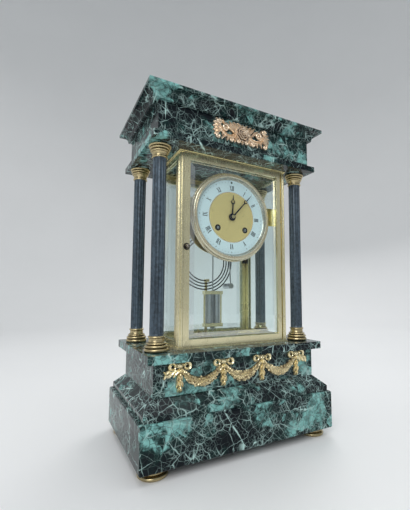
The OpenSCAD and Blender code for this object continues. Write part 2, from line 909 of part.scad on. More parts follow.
module bezel() {
    lip = 0.6;
    color(gilt)
    translate([0, dial_plate_y, dial_z]) rotate([90, 0, 0]) rotate_extrude() polygon([
        [enamel_r + glass_fit, 0], [bezel_r, 0], [bezel_r, 2.2], [bezel_r - 1.4, 3],
        [bezel_r - 1.4, enamel_t + bezel_reach - 2.6], [bezel_r - 4.2, enamel_t + bezel_reach - 0.6],
        [bezel_r - 5, enamel_t + bezel_reach], [bezel_r - 6.6, enamel_t + bezel_reach],
        [bezel_r - 7.4, enamel_t + bezel_reach - 1.4], [enamel_r - lip, enamel_t + glass_fit + 0.4],
        [enamel_r - lip, enamel_t + glass_fit], [enamel_r + glass_fit, enamel_t + glass_fit]
    ]);
}

module dial_ring() {
    color("white")
    difference() {
        disc(enamel_r, dial_y, dial_plate_y, 0, dial_z);
        disc(enamel_inner_r, dial_y - 1, dial_plate_y + 1, 0, dial_z);
        disc(regulator_hole_r, dial_y - 1, dial_plate_y + 1, 0, dial_z + enamel_r - 3.5);
    }
}

module dial_centre() {
    color(gilt)
    difference() {
        disc(enamel_inner_r - glass_fit, dial_y + 0.4, dial_plate_y, 0, dial_z);
        dial_holes(pipe_r + 0.4, winding_hole_r);
    }
}

module dial_holes(centre_r, hole_r) {
    disc(centre_r, -far, far, 0, dial_z);
    for (s = [-1, 1]) disc(hole_r, -far, far, s * winding_x, winding_z);
}

module dial_plate() {
    foot_ring_r = plate_r - 4;
    color(brass)
    difference() {
        union() {
            disc(dial_plate_r, dial_plate_y, dial_plate_y + dial_plate_t, 0, dial_z);
            for (a = [30, 150, 270]) disc(2, dial_plate_y, front_plate_y,
                foot_ring_r * cos(a), dial_z + foot_ring_r * sin(a));
        }
        dial_holes(pipe_r + 0.4, winding_hole_r);
        disc(regulator_hole_r, -far, far, 0, dial_z + enamel_r - 3.5);
    }
}

// Angle brackets that carry the dial plate on the front posts
module dial_straps() {
    t = 1.5;
    h = 26;
    z = dial_z + 8 - h / 2;
    y = dial_plate_y + dial_plate_t;
    lap = 8;
    flange_y = door_back + 1;
    color(brass)
    for (s = [-1, 1]) {
        x0 = dial_plate_r - lap;
        translate([s > 0 ? x0 : -post_x, y, z]) cube([post_x - x0, t, h]);
        translate([s > 0 ? post_x - t : -post_x, flange_y, z]) cube([t, y + t - flange_y, h]);
    }
}

module moon_hand(length, boss_r, hole_r, moon_r) {
    moon_at = length * 0.68;
    difference() {
        union() {
            circle(boss_r);
            polygon([[-1.1, 0], [1.1, 0], [0.7, moon_at], [-0.7, moon_at]]);
            translate([0, moon_at]) circle(moon_r);
            polygon([[-0.8, moon_at + moon_r - 0.4], [0.8, moon_at + moon_r - 0.4], [0.15, length], [-0.15, length]]);
        }
        circle(hole_r);
        translate([0, moon_at + 0.5]) circle(moon_r - 1);
    }
}

module hour_hand() {
    color(steel)
    translate([0, 0, dial_z]) rotate([0, hour_angle, 0])
        facing(hour_hand_y, hour_hand_y + hand_t) moon_hand(hour_hand_l, 5, pipe_r, 3);
}

module minute_hand() {
    color(steel)
    translate([0, 0, dial_z]) rotate([0, minute_angle, 0])
        facing(minute_hand_y, minute_hand_y + hand_t) moon_hand(minute_hand_l, 3.6, hand_pin_r, 2.6);
}

module hand_nut() {
    color(brass)
    difference() {
        disc(2.4, minute_hand_y - 1.2, minute_hand_y, 0, dial_z);
        disc(hand_pin_r, minute_hand_y - 2, minute_hand_y + 1, 0, dial_z);
    }
}

// Movement

module pivots_through(fit) {
    disc(cannon_r + fit, -far, far, 0, dial_z);
    for (s = [-1, 1]) disc(arbor_r + fit, -far, far, s * winding_x, winding_z);
    disc(pivot_r + fit, -far, far, 0, escape_z);
    disc(pivot_r + fit, -far, far, 0, pallet_z);
}

module front_plate() {
    color(brass)
    difference() {
        union() {
            disc(plate_r, front_plate_y, front_plate_y + plate_t, 0, dial_z);
            disc(stud_r, hour_wheel_y - wheel_t - 0.6, front_plate_y, motion_distance, dial_z);
        }
        pivots_through(running_fit);
    }
}

module back_plate() {
    color(brass)
    difference() {
        disc(plate_r, back_plate_y, back_y, 0, dial_z);
        pivots_through(running_fit);
        disc(hammer_arbor_r + running_fit, -far, far, hammer_x, hammer_z);
    }
}

module plate_pillars() {
    y0 = front_plate_y + plate_t;
    color(brass)
    for (a = pillar_angles) {
        x = pillar_ring_r * cos(a);
        z = dial_z + pillar_ring_r * sin(a);
        disc(pillar_r * 0.75, y0, back_plate_y, x, z);
        for (y = [y0, (y0 + back_plate_y) / 2 - 2, back_plate_y - 4]) disc(pillar_r, y, y + 4, x, z);
    }
}

// Centre arbor with its great wheel, the cannon pinion and the seat of the minute hand
module centre_arbor() {
    color(brass)
    translate([0, 0, dial_z]) {
        disc(cannon_r, minute_hand_y + hand_t, back_y);
        disc(hand_pin_r, minute_hand_y - 1.6, minute_hand_y + hand_t + eps);
        facing(motion_y - wheel_t, motion_y) wheel_outline(cannon_teeth, motion_module);
        facing(front_plate_y + plate_t + 1, front_plate_y + plate_t + 1 + wheel_t)
            polygon(teeth(centre_teeth, centre_wheel_r - tooth_h, centre_wheel_r, 0));
    }
}

module minute_wheel() {
    color(brass)
    translate([motion_distance, 0, dial_z]) difference() {
        union() {
            facing(motion_y - wheel_t, motion_y) wheel_outline(minute_teeth, motion_module, 0.5);
            facing(hour_wheel_y - wheel_t, motion_y - wheel_t + eps) wheel_outline(pinion_teeth, hour_module, 0.5);
        }
        disc(stud_r + running_fit, -far, far);
    }
}

module hour_wheel() {
    color(brass)
    translate([0, 0, dial_z]) difference() {
        union() {
            facing(hour_wheel_y - wheel_t, hour_wheel_y) wheel_outline(hour_teeth, hour_module);
            disc(pipe_r, hour_hand_y, hour_wheel_y);
        }
        disc(pipe_bore_r, -far, far);
    }
}

module barrel(s) {
    color(brass)
    difference() {
        union() {
            disc(barrel_r, barrel_y, barrel_y + barrel_l, s * winding_x, winding_z);
            translate([s * winding_x, 0, winding_z]) facing(barrel_y + 1, barrel_y + 3.5)
                polygon(teeth(barrel_teeth, barrel_r, barrel_r + tooth_h, 0));
        }
        disc(arbor_r + running_fit, -far, far, s * winding_x, winding_z);
    }
}

module going_barrel() { barrel(1); }
module strike_barrel() { barrel(-1); }

// Winding arbor with the square for the key at its front end
module winding_arbor(s) {
    square_l = 5;
    key_side = arbor_r * 1.3;
    color(steel)
    translate([s * winding_x, 0, winding_z]) {
        disc(arbor_r, winding_end_y + square_l, back_y);
        translate([-key_side / 2, winding_end_y, -key_side / 2]) cube([key_side, square_l + eps, key_side]);
    }
}

module going_arbor() { winding_arbor(1); }
module strike_arbor() { winding_arbor(-1); }

module escape_wheel() {
    color(brass)
    translate([0, 0, escape_z]) {
        disc(pivot_r, front_plate_y, back_y);
        facing(escape_y - wheel_t / 2, escape_y + wheel_t / 2) difference() {
            polygon(teeth(30, escape_r - 1.6, escape_r, 0));
            for (a = [45:90:315]) rotate(a) translate([escape_r * 0.48, 0]) circle(escape_r * 0.26);
        }
    }
}

// Pallets, their arbor and the crutch behind the back plate
module pallets() {
    spread = escape_r - 0.5;
    drop = pallet_rise - escape_rise - escape_r + 1;
    slot = pendulum_rod_r + moving_gap;
    color(steel)
    translate([0, 0, pallet_z]) {
        disc(pivot_r, front_plate_y, crutch_y + crutch_t);
        facing(escape_y - 1.5, escape_y + 1.5) {
            circle(2.4);
            for (s = [-1, 1]) {
                polygon([[s * -1.6, 1.4], [s * 1.2, -1.6], [s * (spread - 1), -drop], [s * (spread + 1), 1 - drop]]);
                translate([s * spread, -drop]) circle(1.1);
            }
        }
        facing(crutch_y, crutch_y + crutch_t) {
            circle(crutch_hub_r);
            translate([-1, fork_z - pallet_z]) square([2, pallet_z - fork_z]);
        }
        translate([0, 0, fork_z - pallet_z]) difference() {
            translate([-3, crutch_y, -2]) cube([6, pendulum_y + 2.5 - crutch_y, 4]);
            translate([-slot, pendulum_y - slot, -far]) cube([2 * slot, far, 2 * far]);
        }
    }
}

// Cock on the back plate that holds the suspension spring
module suspension_cock() {
    room = 0.7;
    cock_w = 10;
    cock_h = 4.2;
    slot_w = spring_w + 2 * room;
    slot_d = spring_t + 2 * room;
    color(brass)
    difference() {
        translate([-cock_w / 2, back_y, pallet_z + crutch_hub_r + 0.4]) cube([cock_w, pendulum_gap + 3, cock_h]);
        translate([-slot_w / 2, pendulum_y - slot_d / 2, 0]) cube([slot_w, slot_d, far]);
    }
}

module pendulum_rod() {
    spring_h = 12;
    hook_h = 5;
    hook_r = 1.7;
    rating_nut_r = 4;
    rating_nut_h = 2.4;
    tail = 6;
    rod_top = pallet_z - 7;
    color(steel)
    translate([0, pendulum_y, 0]) {
        translate([-spring_w / 2, -spring_t / 2, rod_top - eps]) cube([spring_w, spring_t, spring_h]);
        translate([0, 0, bob_z - tail]) cylinder(r = pendulum_rod_r, h = rod_top - bob_z + tail);
        translate([0, 0, rod_top - hook_h]) cylinder(r = hook_r, h = hook_h);
        translate([0, 0, bob_z - rating_nut_h]) cylinder(r = rating_nut_r, h = rating_nut_h);
    }
}

module pendulum_bob() {
    color(gilt)
    translate([0, pendulum_y, bob_z]) difference() {
        union() {
            for (z = [0, bob_h - bob_bar_h]) translate([-bob_w / 2, -bob_bar_d / 2, z])
                cube([bob_w, bob_bar_d, bob_bar_h]);
            for (s = [-1, 1]) translate([s * (bob_w / 2 - bob_pillar_r), 0, 0]) cylinder(r = bob_pillar_r, h = bob_h);
        }
        translate([0, 0, -1]) cylinder(r = pendulum_rod_r, h = bob_h + 2);
    }
}

module bob_vials() {
    x = pendulum_rod_r + vial_r + 0.4;
    color("silver")
    for (s = [-1, 1]) translate([s * x, pendulum_y, bob_z + bob_bar_h])
        cylinder(r = vial_r, h = bob_h - 2 * bob_bar_h);
}

// Striking hammer, at rest just clear of the gong
module hammer() {
    arm_y = back_y + 3.5;
    overlap = 2;
    run = [hammer_head_x - hammer_x, hammer_head_z - hammer_z];
    color(steel) {
        disc(hammer_arbor_r, back_plate_y - 3, arm_y, hammer_x, hammer_z);
        disc(hammer_boss_r, arm_y - overlap, arm_y + overlap, hammer_x, hammer_z);
        translate([hammer_x, arm_y, hammer_z]) rotate([0, atan2(run.x, run.y), 0])
            cylinder(r = hammer_arm_r, h = norm(run));
        disc(hammer_head_r, arm_y - overlap, gong_y + 3, hammer_head_x, hammer_head_z);
    }
}

// Gong wire: half circles about two centres, so that each full turn grows by one pitch
module gong() {
    color("black")
    translate([gong_x, gong_y, gong_z]) rotate([90, 0, 0]) {
        for (i = [0:gong_half_turns - 1])
            translate([0, i % 2 == 0 ? 0 : -gong_pitch / 2, 0]) rotate([0, 0, i % 2 == 0 ? 90 : -90])
                rotate_extrude(angle = 180) translate([gong_inner_r + i * gong_pitch / 2, 0]) circle(gong_wire_r);
        translate([0, -gong_inner_r, 0]) rotate([0, 90, 0]) cylinder(r = gong_wire_r, h = gong_block_x - gong_x);
    }
}

// Points on the gong's centre line, and the least gap between points a full turn apart
function gong_radius(i) = gong_inner_r + i * gong_pitch / 2;
function gong_centre(i) = i % 2 == 0 ? 0 : -gong_pitch / 2;
function gong_point(i, a) = [gong_radius(i) * sin(a), gong_centre(i) - gong_radius(i) * cos(a)];
gong_steps = 12;
gong_points = [
    for (i = [0:gong_half_turns - 1]) for (k = [0:gong_steps - 1]) gong_point(i, (i % 2 + k / gong_steps) * -180)
];
gong_least = min([
    for (m = [0:len(gong_points) - 1 - gong_steps]) for (n = [m + gong_steps:len(gong_points) - 1])
        norm(gong_points[m] - gong_points[n])
]) - 2 * gong_wire_r;

module gong_stand() {
    block_z = gong_z - gong_inner_r;
    x = gong_block_x + gong_block_w / 2;
    depth = gong_post_y + gong_post_r - gong_y + gong_block_d;
    color(brass) {
        translate([gong_block_x, gong_y - gong_block_d, block_z - gong_block_h / 2])
            cube([gong_block_w, depth, gong_block_h]);
        translate([x, gong_post_y, z_podium]) cylinder(r = gong_post_r, h = block_z - z_podium);
        translate([x - gong_foot_w / 2, gong_post_y - gong_foot_d + gong_post_r, z_podium])
            cube([gong_foot_w, gong_foot_d, gong_foot_t]);
    }
}

echo(gong_least_gap = gong_least);

bun_feet();
lower_plinth();
plinth_step();
upper_plinth();
podium_slab();
architrave();
frieze();
cornice();
column_shaft_front_left();
column_shaft_front_right();
column_shaft_rear_left();
column_shaft_rear_right();
column_bases();
column_capitals();
tie_rods();
tie_nuts();
case_bottom_frame();
case_top_frame();
case_posts();
side_glass_left();
side_glass_right();
front_door_frame();
front_door_glass();
front_door_pins();
front_door_knob();
front_latch_blade();
rear_door_frame();
rear_door_glass();
rear_door_pins();
rear_door_knob();
rear_latch_blade();
frieze_mount();
swag_mount();
bezel();
dial_ring();
dial_centre();
dial_plate();
dial_straps();
hour_hand();
minute_hand();
hand_nut();
front_plate();
back_plate();
plate_pillars();
centre_arbor();
minute_wheel();
hour_wheel();
going_barrel();
strike_barrel();
going_arbor();
strike_arbor();
escape_wheel();
pallets();
suspension_cock();
pendulum_rod();
pendulum_bob();
bob_vials();
hammer();
gong();
gong_stand();
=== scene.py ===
"""Portico mantel clock in veined green marble, turned brass and gilt mounts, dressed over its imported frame."""
import json
import math

import bmesh
import bpy
import numpy as np
from mathutils import Matrix, Vector


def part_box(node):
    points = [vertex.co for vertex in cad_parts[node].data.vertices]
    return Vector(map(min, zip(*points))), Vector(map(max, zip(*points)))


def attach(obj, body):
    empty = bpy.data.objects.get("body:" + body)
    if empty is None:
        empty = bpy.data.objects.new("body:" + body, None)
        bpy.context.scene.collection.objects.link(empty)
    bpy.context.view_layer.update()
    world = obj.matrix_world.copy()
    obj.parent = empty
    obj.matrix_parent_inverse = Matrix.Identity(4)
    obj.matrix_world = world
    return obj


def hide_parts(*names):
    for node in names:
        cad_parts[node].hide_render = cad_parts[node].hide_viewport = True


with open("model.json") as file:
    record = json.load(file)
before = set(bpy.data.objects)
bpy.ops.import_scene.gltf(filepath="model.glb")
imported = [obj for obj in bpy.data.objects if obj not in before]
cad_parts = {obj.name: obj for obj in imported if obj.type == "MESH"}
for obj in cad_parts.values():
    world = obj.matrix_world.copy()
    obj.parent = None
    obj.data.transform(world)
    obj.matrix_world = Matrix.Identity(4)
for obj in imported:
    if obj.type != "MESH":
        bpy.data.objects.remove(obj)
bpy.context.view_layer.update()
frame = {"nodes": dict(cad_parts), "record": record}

bl_info = {
    "name": "Portico Clock",
    "version": (1, 0, 0),
    "blender": (4, 5, 0),
    "location": "View3D > Sidebar > Clock",
    "description": "Dresses the frame of a marble portico clock with its stone, brass, gilt mounts and dial",
    "category": "Object",
}

MM = 0.001

# Places read from the frame, for materials and pieces

DIAL_LO, DIAL_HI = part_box("dial_ring")
DIAL_MIDDLE = Vector((0.0, DIAL_LO.y, (DIAL_LO.z + DIAL_HI.z) / 2))
MARBLE_NODES = ("lower_plinth", "plinth_step", "upper_plinth", "podium_slab", "architrave", "frieze", "cornice")


# Settings that a user would change

def length_property(label, words, millimetres, least=0.0):
    """A length that a user can change."""
    return bpy.props.FloatProperty(
        name=label, description=words, default=millimetres * MM, min=least * MM, unit="LENGTH")


def colour_property(label, words, default):
    """A colour that a user can change, in linear light."""
    return bpy.props.FloatVectorProperty(
        name=label, description=words, default=default, size=3, min=0.0, max=1.0, subtype="COLOR")


class ClockSizes(bpy.types.PropertyGroup):
    """Sizes of the clock's finish, in metres"""
    stone_edge: length_property("Stone Edge", "Softened edge of the marble blocks", 0.8)
    brass_edge: length_property("Brass Edge", "Softened edge of the brass frames", 0.25)
    steel_edge: length_property("Steel Edge", "Softened edge of hands, arbors and levers", 0.12)
    blossom: length_property("Blossom", "Radius of a garland blossom", 1.5, 0.3)
    flutes: bpy.props.IntProperty(
        name="Flutes", description="Flutes round a column shaft", default=16, min=8, max=24)


class ClockColours(bpy.types.PropertyGroup):
    """Colours of the clock's materials"""
    stone: colour_property("Stone", "Dark ground of the marble", (0.003, 0.006, 0.009))
    stone_green: colour_property("Stone Green", "Green clouds in the marble", (0.007, 0.026, 0.024))
    stone_mint: colour_property("Stone Mint", "Pale patches in the marble", (0.185, 0.41, 0.385))
    stone_vein: colour_property("Stone Vein", "Veins of the marble", (0.52, 0.74, 0.70))
    column: colour_property("Column", "Dark patina of the column shafts", (0.055, 0.080, 0.105))
    brass: colour_property("Brass", "Turned and sheet brass", (0.62, 0.51, 0.29))
    case: colour_property("Case Brass", "Brass of the glazed case", (0.93, 0.85, 0.55))
    gilt: colour_property("Yellow Gilt", "Gilding of the plinth mount", (1.0, 0.85, 0.54))
    rose: colour_property("Rose Gilt", "Gilding of the frieze mount and bezel", (1.0, 0.79, 0.60))
    # Clouds of real tarnishing take this colour, and, darkened, it also paints shade into the hollows of turned brass
    tarnish_and_shade: colour_property("Tarnish", "Dark deposit in the hollows of metal", (0.10, 0.065, 0.03))
    # The white of the chapter ring is tinted blue, a painted cool reflection
    enamel: colour_property("Enamel", "White of the chapter ring", (0.80, 0.90, 0.95))
    ink: colour_property("Ink", "Painted numerals", (0.012, 0.012, 0.016))
    blued: colour_property("Blued Steel", "Hands", (0.022, 0.028, 0.06))
    steel: colour_property("Steel", "Bright steel parts", (0.52, 0.53, 0.55))
    black: colour_property("Black Steel", "Blackened gong, latches and rods", (0.02, 0.02, 0.022))
    # Painted reflection: the knobs are darkened to show the dark surroundings that a polished ball reflects
    knob_dark: colour_property("Bronze", "Darkened door knobs", (0.20, 0.18, 0.155))
    glass: colour_property("Glass", "Tint of the panes", (0.93, 0.97, 0.965))
    floor: colour_property("Floor", "Pale floor and backdrop", (0.80, 0.80, 0.80))


# Shader expressions

def math_method(operation, swapped=False):
    """A method of a socket that adds one math node, with its operands swapped where asked."""
    return lambda self, other: self.math(operation, other, swapped)


class Value:
    """An output socket of a node graph, with the arithmetic that the graphs use."""

    def __init__(self, graph, socket):
        self.graph = graph
        self.socket = socket

    def math(self, operation, other=0.0, swapped=False):
        first, second = (other, self) if swapped else (self, other)
        return self.graph.node("ShaderNodeMath", {"operation": operation}, {0: first, 1: second})

    __add__, __radd__ = math_method("ADD"), math_method("ADD", True)
    __sub__, __rsub__ = math_method("SUBTRACT"), math_method("SUBTRACT", True)
    __mul__, __rmul__ = math_method("MULTIPLY"), math_method("MULTIPLY", True)
    __truediv__, __pow__, most = math_method("DIVIDE"), math_method("POWER"), math_method("MAXIMUM")

    def fade(self, low, high, to_low=0.0, to_high=1.0):
        """Smooth step from to_low to to_high while this value goes from low to high."""
        return self.graph.node(
            "ShaderNodeMapRange", {"interpolation_type": "SMOOTHSTEP"},
            {"Value": self, "From Min": low, "From Max": high, "To Min": to_low, "To Max": to_high})


class Graph:
    """A node tree that is filled by expressions."""

    def __init__(self, tree):
        self.tree = tree

    def node(self, kind, settings=None, inputs=None, output=0):
        """Adds a node, sets it up, fills or links its inputs and returns one output."""
        made = self.tree.nodes.new(kind)
        for key, value in (settings or {}).items():
            setattr(made, key, value)
        for key, value in (inputs or {}).items():
            if isinstance(value, Value):
                self.tree.links.new(value.socket, made.inputs[key])
            else:
                made.inputs[key].default_value = value
        return Value(self, made.outputs[output])

    def vector(self, operation, a, b=(0, 0, 0), output=0):
        """Arithmetic on two vectors."""
        return self.node("ShaderNodeVectorMath", {"operation": operation}, {0: a, 1: b}, output)

    def scaled(self, vector, amount):
        return self.node("ShaderNodeVectorMath", {"operation": "SCALE"}, {0: vector, "Scale": amount})


class Shader(Graph):
    """Builds one material from expressions."""

    def __init__(self, name):
        self.material = bpy.data.materials.new(name)
        self.material.use_nodes = True
        super().__init__(self.material.node_tree)
        self.tree.nodes.clear()

    def attribute(self, name, output="Fac"):
        """A value that the mesh keeps at its points or faces."""
        return self.node("ShaderNodeAttribute", {"attribute_name": name}, output=output)

    def place(self, scale=(1, 1, 1), turn=(0, 0, 0), shift=(0, 0, 0), vector=None):
        """Object coordinates, or another vector, stretched and turned for a pattern."""
        return self.node("ShaderNodeMapping", inputs={
            "Vector": vector or self.node("ShaderNodeTexCoord", output="Object"),
            "Scale": scale, "Rotation": turn, "Location": shift})

    def noise(self, vector, scale, detail=3.0, rough=0.5, output=0):
        return self.node("ShaderNodeTexNoise", inputs={
            "Vector": vector, "Scale": scale, "Detail": detail, "Roughness": rough}, output=output)

    def cells(self, vector, scale, output="Distance", feature="DISTANCE_TO_EDGE"):
        return self.node("ShaderNodeTexVoronoi", {"feature": feature}, {"Vector": vector, "Scale": scale}, output)

    def warped(self, vector, scale, amount, detail=3.0):
        """The vector pushed about by a noise field, amount in metres."""
        push = self.vector("SUBTRACT", self.noise(vector, scale, detail, output="Color"), (0.5, 0.5, 0.5))
        return self.vector("ADD", vector, self.scaled(push, amount))

    def mix(self, factor, a, b):
        """Two colours mixed by a factor; a colour mix has its sockets at 6 and 7 and its output at 2."""
        return self.node("ShaderNodeMix", {"data_type": "RGBA"}, {0: factor, 6: opaque(a), 7: opaque(b)}, 2)

    def bump(self, height, distance, strength=1.0):
        return self.node("ShaderNodeBump", inputs={"Height": height, "Distance": distance, "Strength": strength})

    def surface(self, **inputs):
        """Ends the material in a Principled shader; underscores in names stand for spaces."""
        filled = {key.replace("_", " "): opaque(value) for key, value in inputs.items()}
        return self.output(self.node("ShaderNodeBsdfPrincipled", inputs=filled))

    def output(self, shader):
        end = self.tree.nodes.new("ShaderNodeOutputMaterial")
        self.tree.links.new(shader.socket, end.inputs["Surface"])
        return self.material


class Pattern(Graph):
    """Builds one geometry tree with named inputs from expressions."""

    def __init__(self, name, inputs):
        super().__init__(bpy.data.node_groups.new(name, "GeometryNodeTree"))
        sockets = self.tree.interface
        for label, kind in [("Geometry", "NodeSocketGeometry"), *inputs]:
            sockets.new_socket(label, in_out="INPUT", socket_type=kind)
        sockets.new_socket("Geometry", in_out="OUTPUT", socket_type="NodeSocketGeometry")
        self.entry = self.tree.nodes.new("NodeGroupInput")

    def input(self, label):
        return Value(self, self.entry.outputs[label])

    def output(self, geometry):
        end = self.tree.nodes.new("NodeGroupOutput")
        self.tree.links.new(geometry.socket, end.inputs["Geometry"])
        return self.tree


def opaque(value):
    """A plain colour as four numbers; anything else as it is."""
    if isinstance(value, (Value, int, float)):
        return value
    value = tuple(value)
    return value + (1.0,) if len(value) == 3 else value


def shade(colour, factor):
    """A colour made lighter or darker."""
    return tuple(min(1.0, c * factor) for c in colour[:3])


# Materials, one function each; pattern scales are per metre

MATERIALS = {}


def material(name):
    """The clock's material of that name, made when it is first asked for."""
    if name not in MATERIALS:
        MATERIALS[name] = MATERIAL_MAKERS[name](Shader(name), bpy.context.scene.clock_colours)
    return MATERIALS[name]


# Pale patches on the front: block, x in mm, share of the block's height, reach in mm
MINT_CLOUDS = (
    ("lower_plinth", -108, 0.75, 44), ("lower_plinth", 98, 0.5, 28), ("lower_plinth", 62, 0.2, 22),
    ("plinth_step", 8, 0.2, 14), ("plinth_step", 78, 0.6, 18), ("upper_plinth", 97, 0.5, 22),
    ("upper_plinth", -8, 0.2, 18), ("podium_slab", -106, 0.5, 24), ("frieze", 70, 0.55, 34), ("frieze", 96, 0.3, 34),
    ("frieze", -46, 0.7, 20), ("cornice", -112, 0.5, 28), ("cornice", -100, 0.25, 40), ("architrave", 42, 0.3, 14))
SLAB_STEP = Vector((0.31, 0.17, 0.23))


def slab_place(node):
    """Where a marble block's slab lay in the stone, so that each block shows veins of its own."""
    return SLAB_STEP * MARBLE_NODES.index(node)


def green_marble(s, colours):
    """Brecciated serpentine: dark ground, broken mint clouds and a net of pale cracks that swell and thin."""
    base = s.vector("ADD", s.place(), s.attribute("slab", "Vector"))
    bent = s.warped(base, 24.0, 0.012)
    broken = s.warped(bent, 150.0, 0.0032, 5.0)
    zone = s.noise(base, 21.0, 4.0, 0.6)
    swell = s.noise(base, 50.0, 3.0, 0.6)

    def cracks(edge, low, high, thin, thick):
        """Cracks along the edges of cells, thin where the swell is low and thick where it is high."""
        return edge.fade(0.0, swell.fade(low, high, thin, thick), 1.0, 0.0)

    crackle = cracks(s.cells(broken, 270.0), 0.38, 0.64, 0.03, 0.12) * zone.fade(0.42, 0.58)
    net_edge = s.cells(broken, 128.0)
    net = cracks(net_edge, 0.36, 0.66, 0.012, 0.085) * zone.fade(0.36, 0.54, 0.2, 1.0)
    web = cracks(s.cells(broken, 50.0), 0.40, 0.70, 0.006, 0.052)
    drawn = s.warped(s.place((1.0, 1.0, 0.4), (0.35, 0.75, 0.2), vector=base), 22.0, 0.008)
    seam = cracks(s.cells(drawn, 17.0), 0.48, 0.68, 0.0, 0.026)
    vein = (0.26 * crackle).most(0.48 * net).most(0.7 * web).most(0.95 * seam)
    mottle = s.noise(broken, 80.0, 7.0, 0.72)
    clast = s.node("ShaderNodeSeparateColor", inputs={0: s.cells(broken, 60.0, "Color", "F1")})
    field = s.noise(bent, 13.0, 4.0, 0.55) + 0.52 * (mottle - 0.5) + 0.20 * (clast - 0.5)
    for node, x, share, reach in MINT_CLOUDS:
        lo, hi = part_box(node)
        place = Vector((x * MM, lo.y, lo.z + share * (hi.z - lo.z))) + slab_place(node)
        away = s.vector("DISTANCE", bent, place, "Value")
        field = field + away.fade(0.1 * reach * MM, reach * MM, 0.16, 0.0)
    patch = field.fade(0.60, 0.71)
    ground = s.mix(field.fade(0.46, 0.62), colours.stone, colours.stone_green)
    mint = s.mix(mottle.fade(0.34, 0.62), shade(colours.stone_mint, 0.25), shade(colours.stone_mint, 1.2))
    mint = s.mix(net_edge.fade(0.01, 0.07, 0.75, 0.0) * (1.0 - seam), mint, colours.stone_green)
    colour = s.mix(vein * (1.0 - 0.5 * patch), s.mix(patch, ground, mint), colours.stone_vein)
    smear = s.noise(base, 9.0, 4.0)
    return s.surface(
        Base_Color=colour,
        Roughness=0.07 + 0.09 * smear + 0.08 * vein,
        Specular_IOR_Level=0.16,
        Normal=s.bump(vein * 0.6 + 0.4 * s.noise(base, 60.0, 2.0), 0.00006, 0.3))


def worn_metal(s, colour, tarnish_and_shade, polish, spots, drag, grain, depth=0.00003, keep=0.55, metal=1.0, hollows=False):
    """Metal with tarnished clouds, fine lines along the drag and worn gloss; where asked, its hollows are darkened by
    tarnishing and painted shade.
    """
    base = s.place()
    cloud = s.noise(base, spots, 5.0, 0.62)
    speck = s.noise(base, spots * 9.0, 3.0)
    lines = s.noise(s.place(drag), grain, 3.0)
    stain = cloud.fade(0.46, 0.74) * keep + speck.fade(0.58, 0.78) * 0.12
    tone = s.mix(lines, shade(colour, 0.86), shade(colour, 1.06))
    tone = s.mix(stain, tone, s.mix(0.55, colour, tarnish_and_shade))
    if hollows:
        # Tarnishing and painted shade: the lower the relief height, the darker the colour, as in the grooves between
        # turned rings
        patina_and_shade = s.attribute("relief").fade(0.05, 0.8, 0.9, 0.0)
        tone = s.mix(patina_and_shade, tone, shade(tarnish_and_shade, 0.6))
    return s.surface(
        Base_Color=tone,
        Metallic=metal,
        Roughness=polish + 0.16 * stain + 0.10 * lines,
        Normal=s.bump(lines + 0.5 * speck, depth, 0.4))


def turned_brass(s, colours):
    # The hollows of turned brass take tarnishing and painted shade
    return worn_metal(s, colours.brass, colours.tarnish_and_shade, 0.22, 80.0, (1, 1, 14), 260.0, keep=0.6, hollows=True)


def case_brass(s, colours):
    return worn_metal(s, colours.case, colours.tarnish_and_shade, 0.2, 45.0, (16, 16, 1), 180.0, 0.000006, 0.3)


def movement_brass(s, colours):
    return worn_metal(s, shade(colours.brass, 1.15), colours.tarnish_and_shade, 0.3, 50.0, (1, 8, 12), 200.0)


def bright_steel(s, colours):
    return worn_metal(s, colours.steel, shade(colours.steel, 0.35), 0.24, 90.0, (1, 1, 10), 260.0)


def dark_steel(s, colours):
    return worn_metal(s, colours.black, (0.03, 0.018, 0.01), 0.34, 120.0, (6, 6, 1), 300.0)


# Painted reflection: a dark colour stands in for the dark surroundings that the polished knobs reflect
def dark_bronze(s, colours):
    return worn_metal(s, colours.knob_dark, shade(colours.knob_dark, 0.4), 0.16, 150.0, (1, 1, 1), 400.0)


def blued_steel(s, colours):
    return worn_metal(s, colours.blued, shade(colours.blued, 0.5), 0.2, 150.0, (1, 1, 6), 400.0)


def dark_column(s, colours):
    """Dark patinated metal, worn paler on the ridges between the flutes."""
    base = s.place()
    streak = s.noise(s.place((30, 30, 1)), 14.0, 5.0, 0.6)
    speck = s.noise(base, 700.0, 3.0)
    worn = s.attribute("ridge").fade(0.78, 1.0) * streak.fade(0.42, 0.62)
    mottle = (0.5 * streak + 0.5 * s.noise(base, 260.0, 5.0, 0.65)).fade(0.38, 0.62)
    colour = s.mix(mottle, shade(colours.column, 0.45), shade(colours.column, 1.5))
    colour = s.mix(worn * 0.6, colour, (0.20, 0.25, 0.28))
    return s.surface(
        Base_Color=colour,
        Metallic=0.4,
        Roughness=0.30 + 0.14 * speck - 0.06 * worn,
        Specular_IOR_Level=0.6,
        Normal=s.bump(speck + streak, 0.00004, 0.35))


def gilding(s, colour, tarnish_and_shade, polish):
    """Cast and gilt metal: burnished on the high places, dull and dark in the hollows, where the dark is tarnishing
    and painted shade.
    """
    base = s.place()
    cloud = s.noise(base, 150.0, 4.0, 0.6)
    speck = s.noise(base, 1600.0, 2.0)
    # Tarnishing and painted shade: low relief heights, stirred by a cloud, darken and dull the gilding
    patina_and_shade = (s.attribute("relief") + 0.25 * (cloud - 0.5)).fade(0.08, 0.64, 1.0, 0.0)
    tone = s.mix(cloud, shade(colour, 0.84), shade(colour, 1.06))
    return s.surface(
        Base_Color=s.mix(patina_and_shade * 0.9, tone, tarnish_and_shade),
        Metallic=0.85,
        Roughness=polish + 0.2 * patina_and_shade + 0.10 * cloud,
        Normal=s.bump(speck, 0.00005, 0.3))


# The dark colours given here paint tarnishing and shade into the hollows of the mounts
def rose_gilt(s, colours):
    return gilding(s, colours.rose, (0.11, 0.055, 0.03), 0.18)


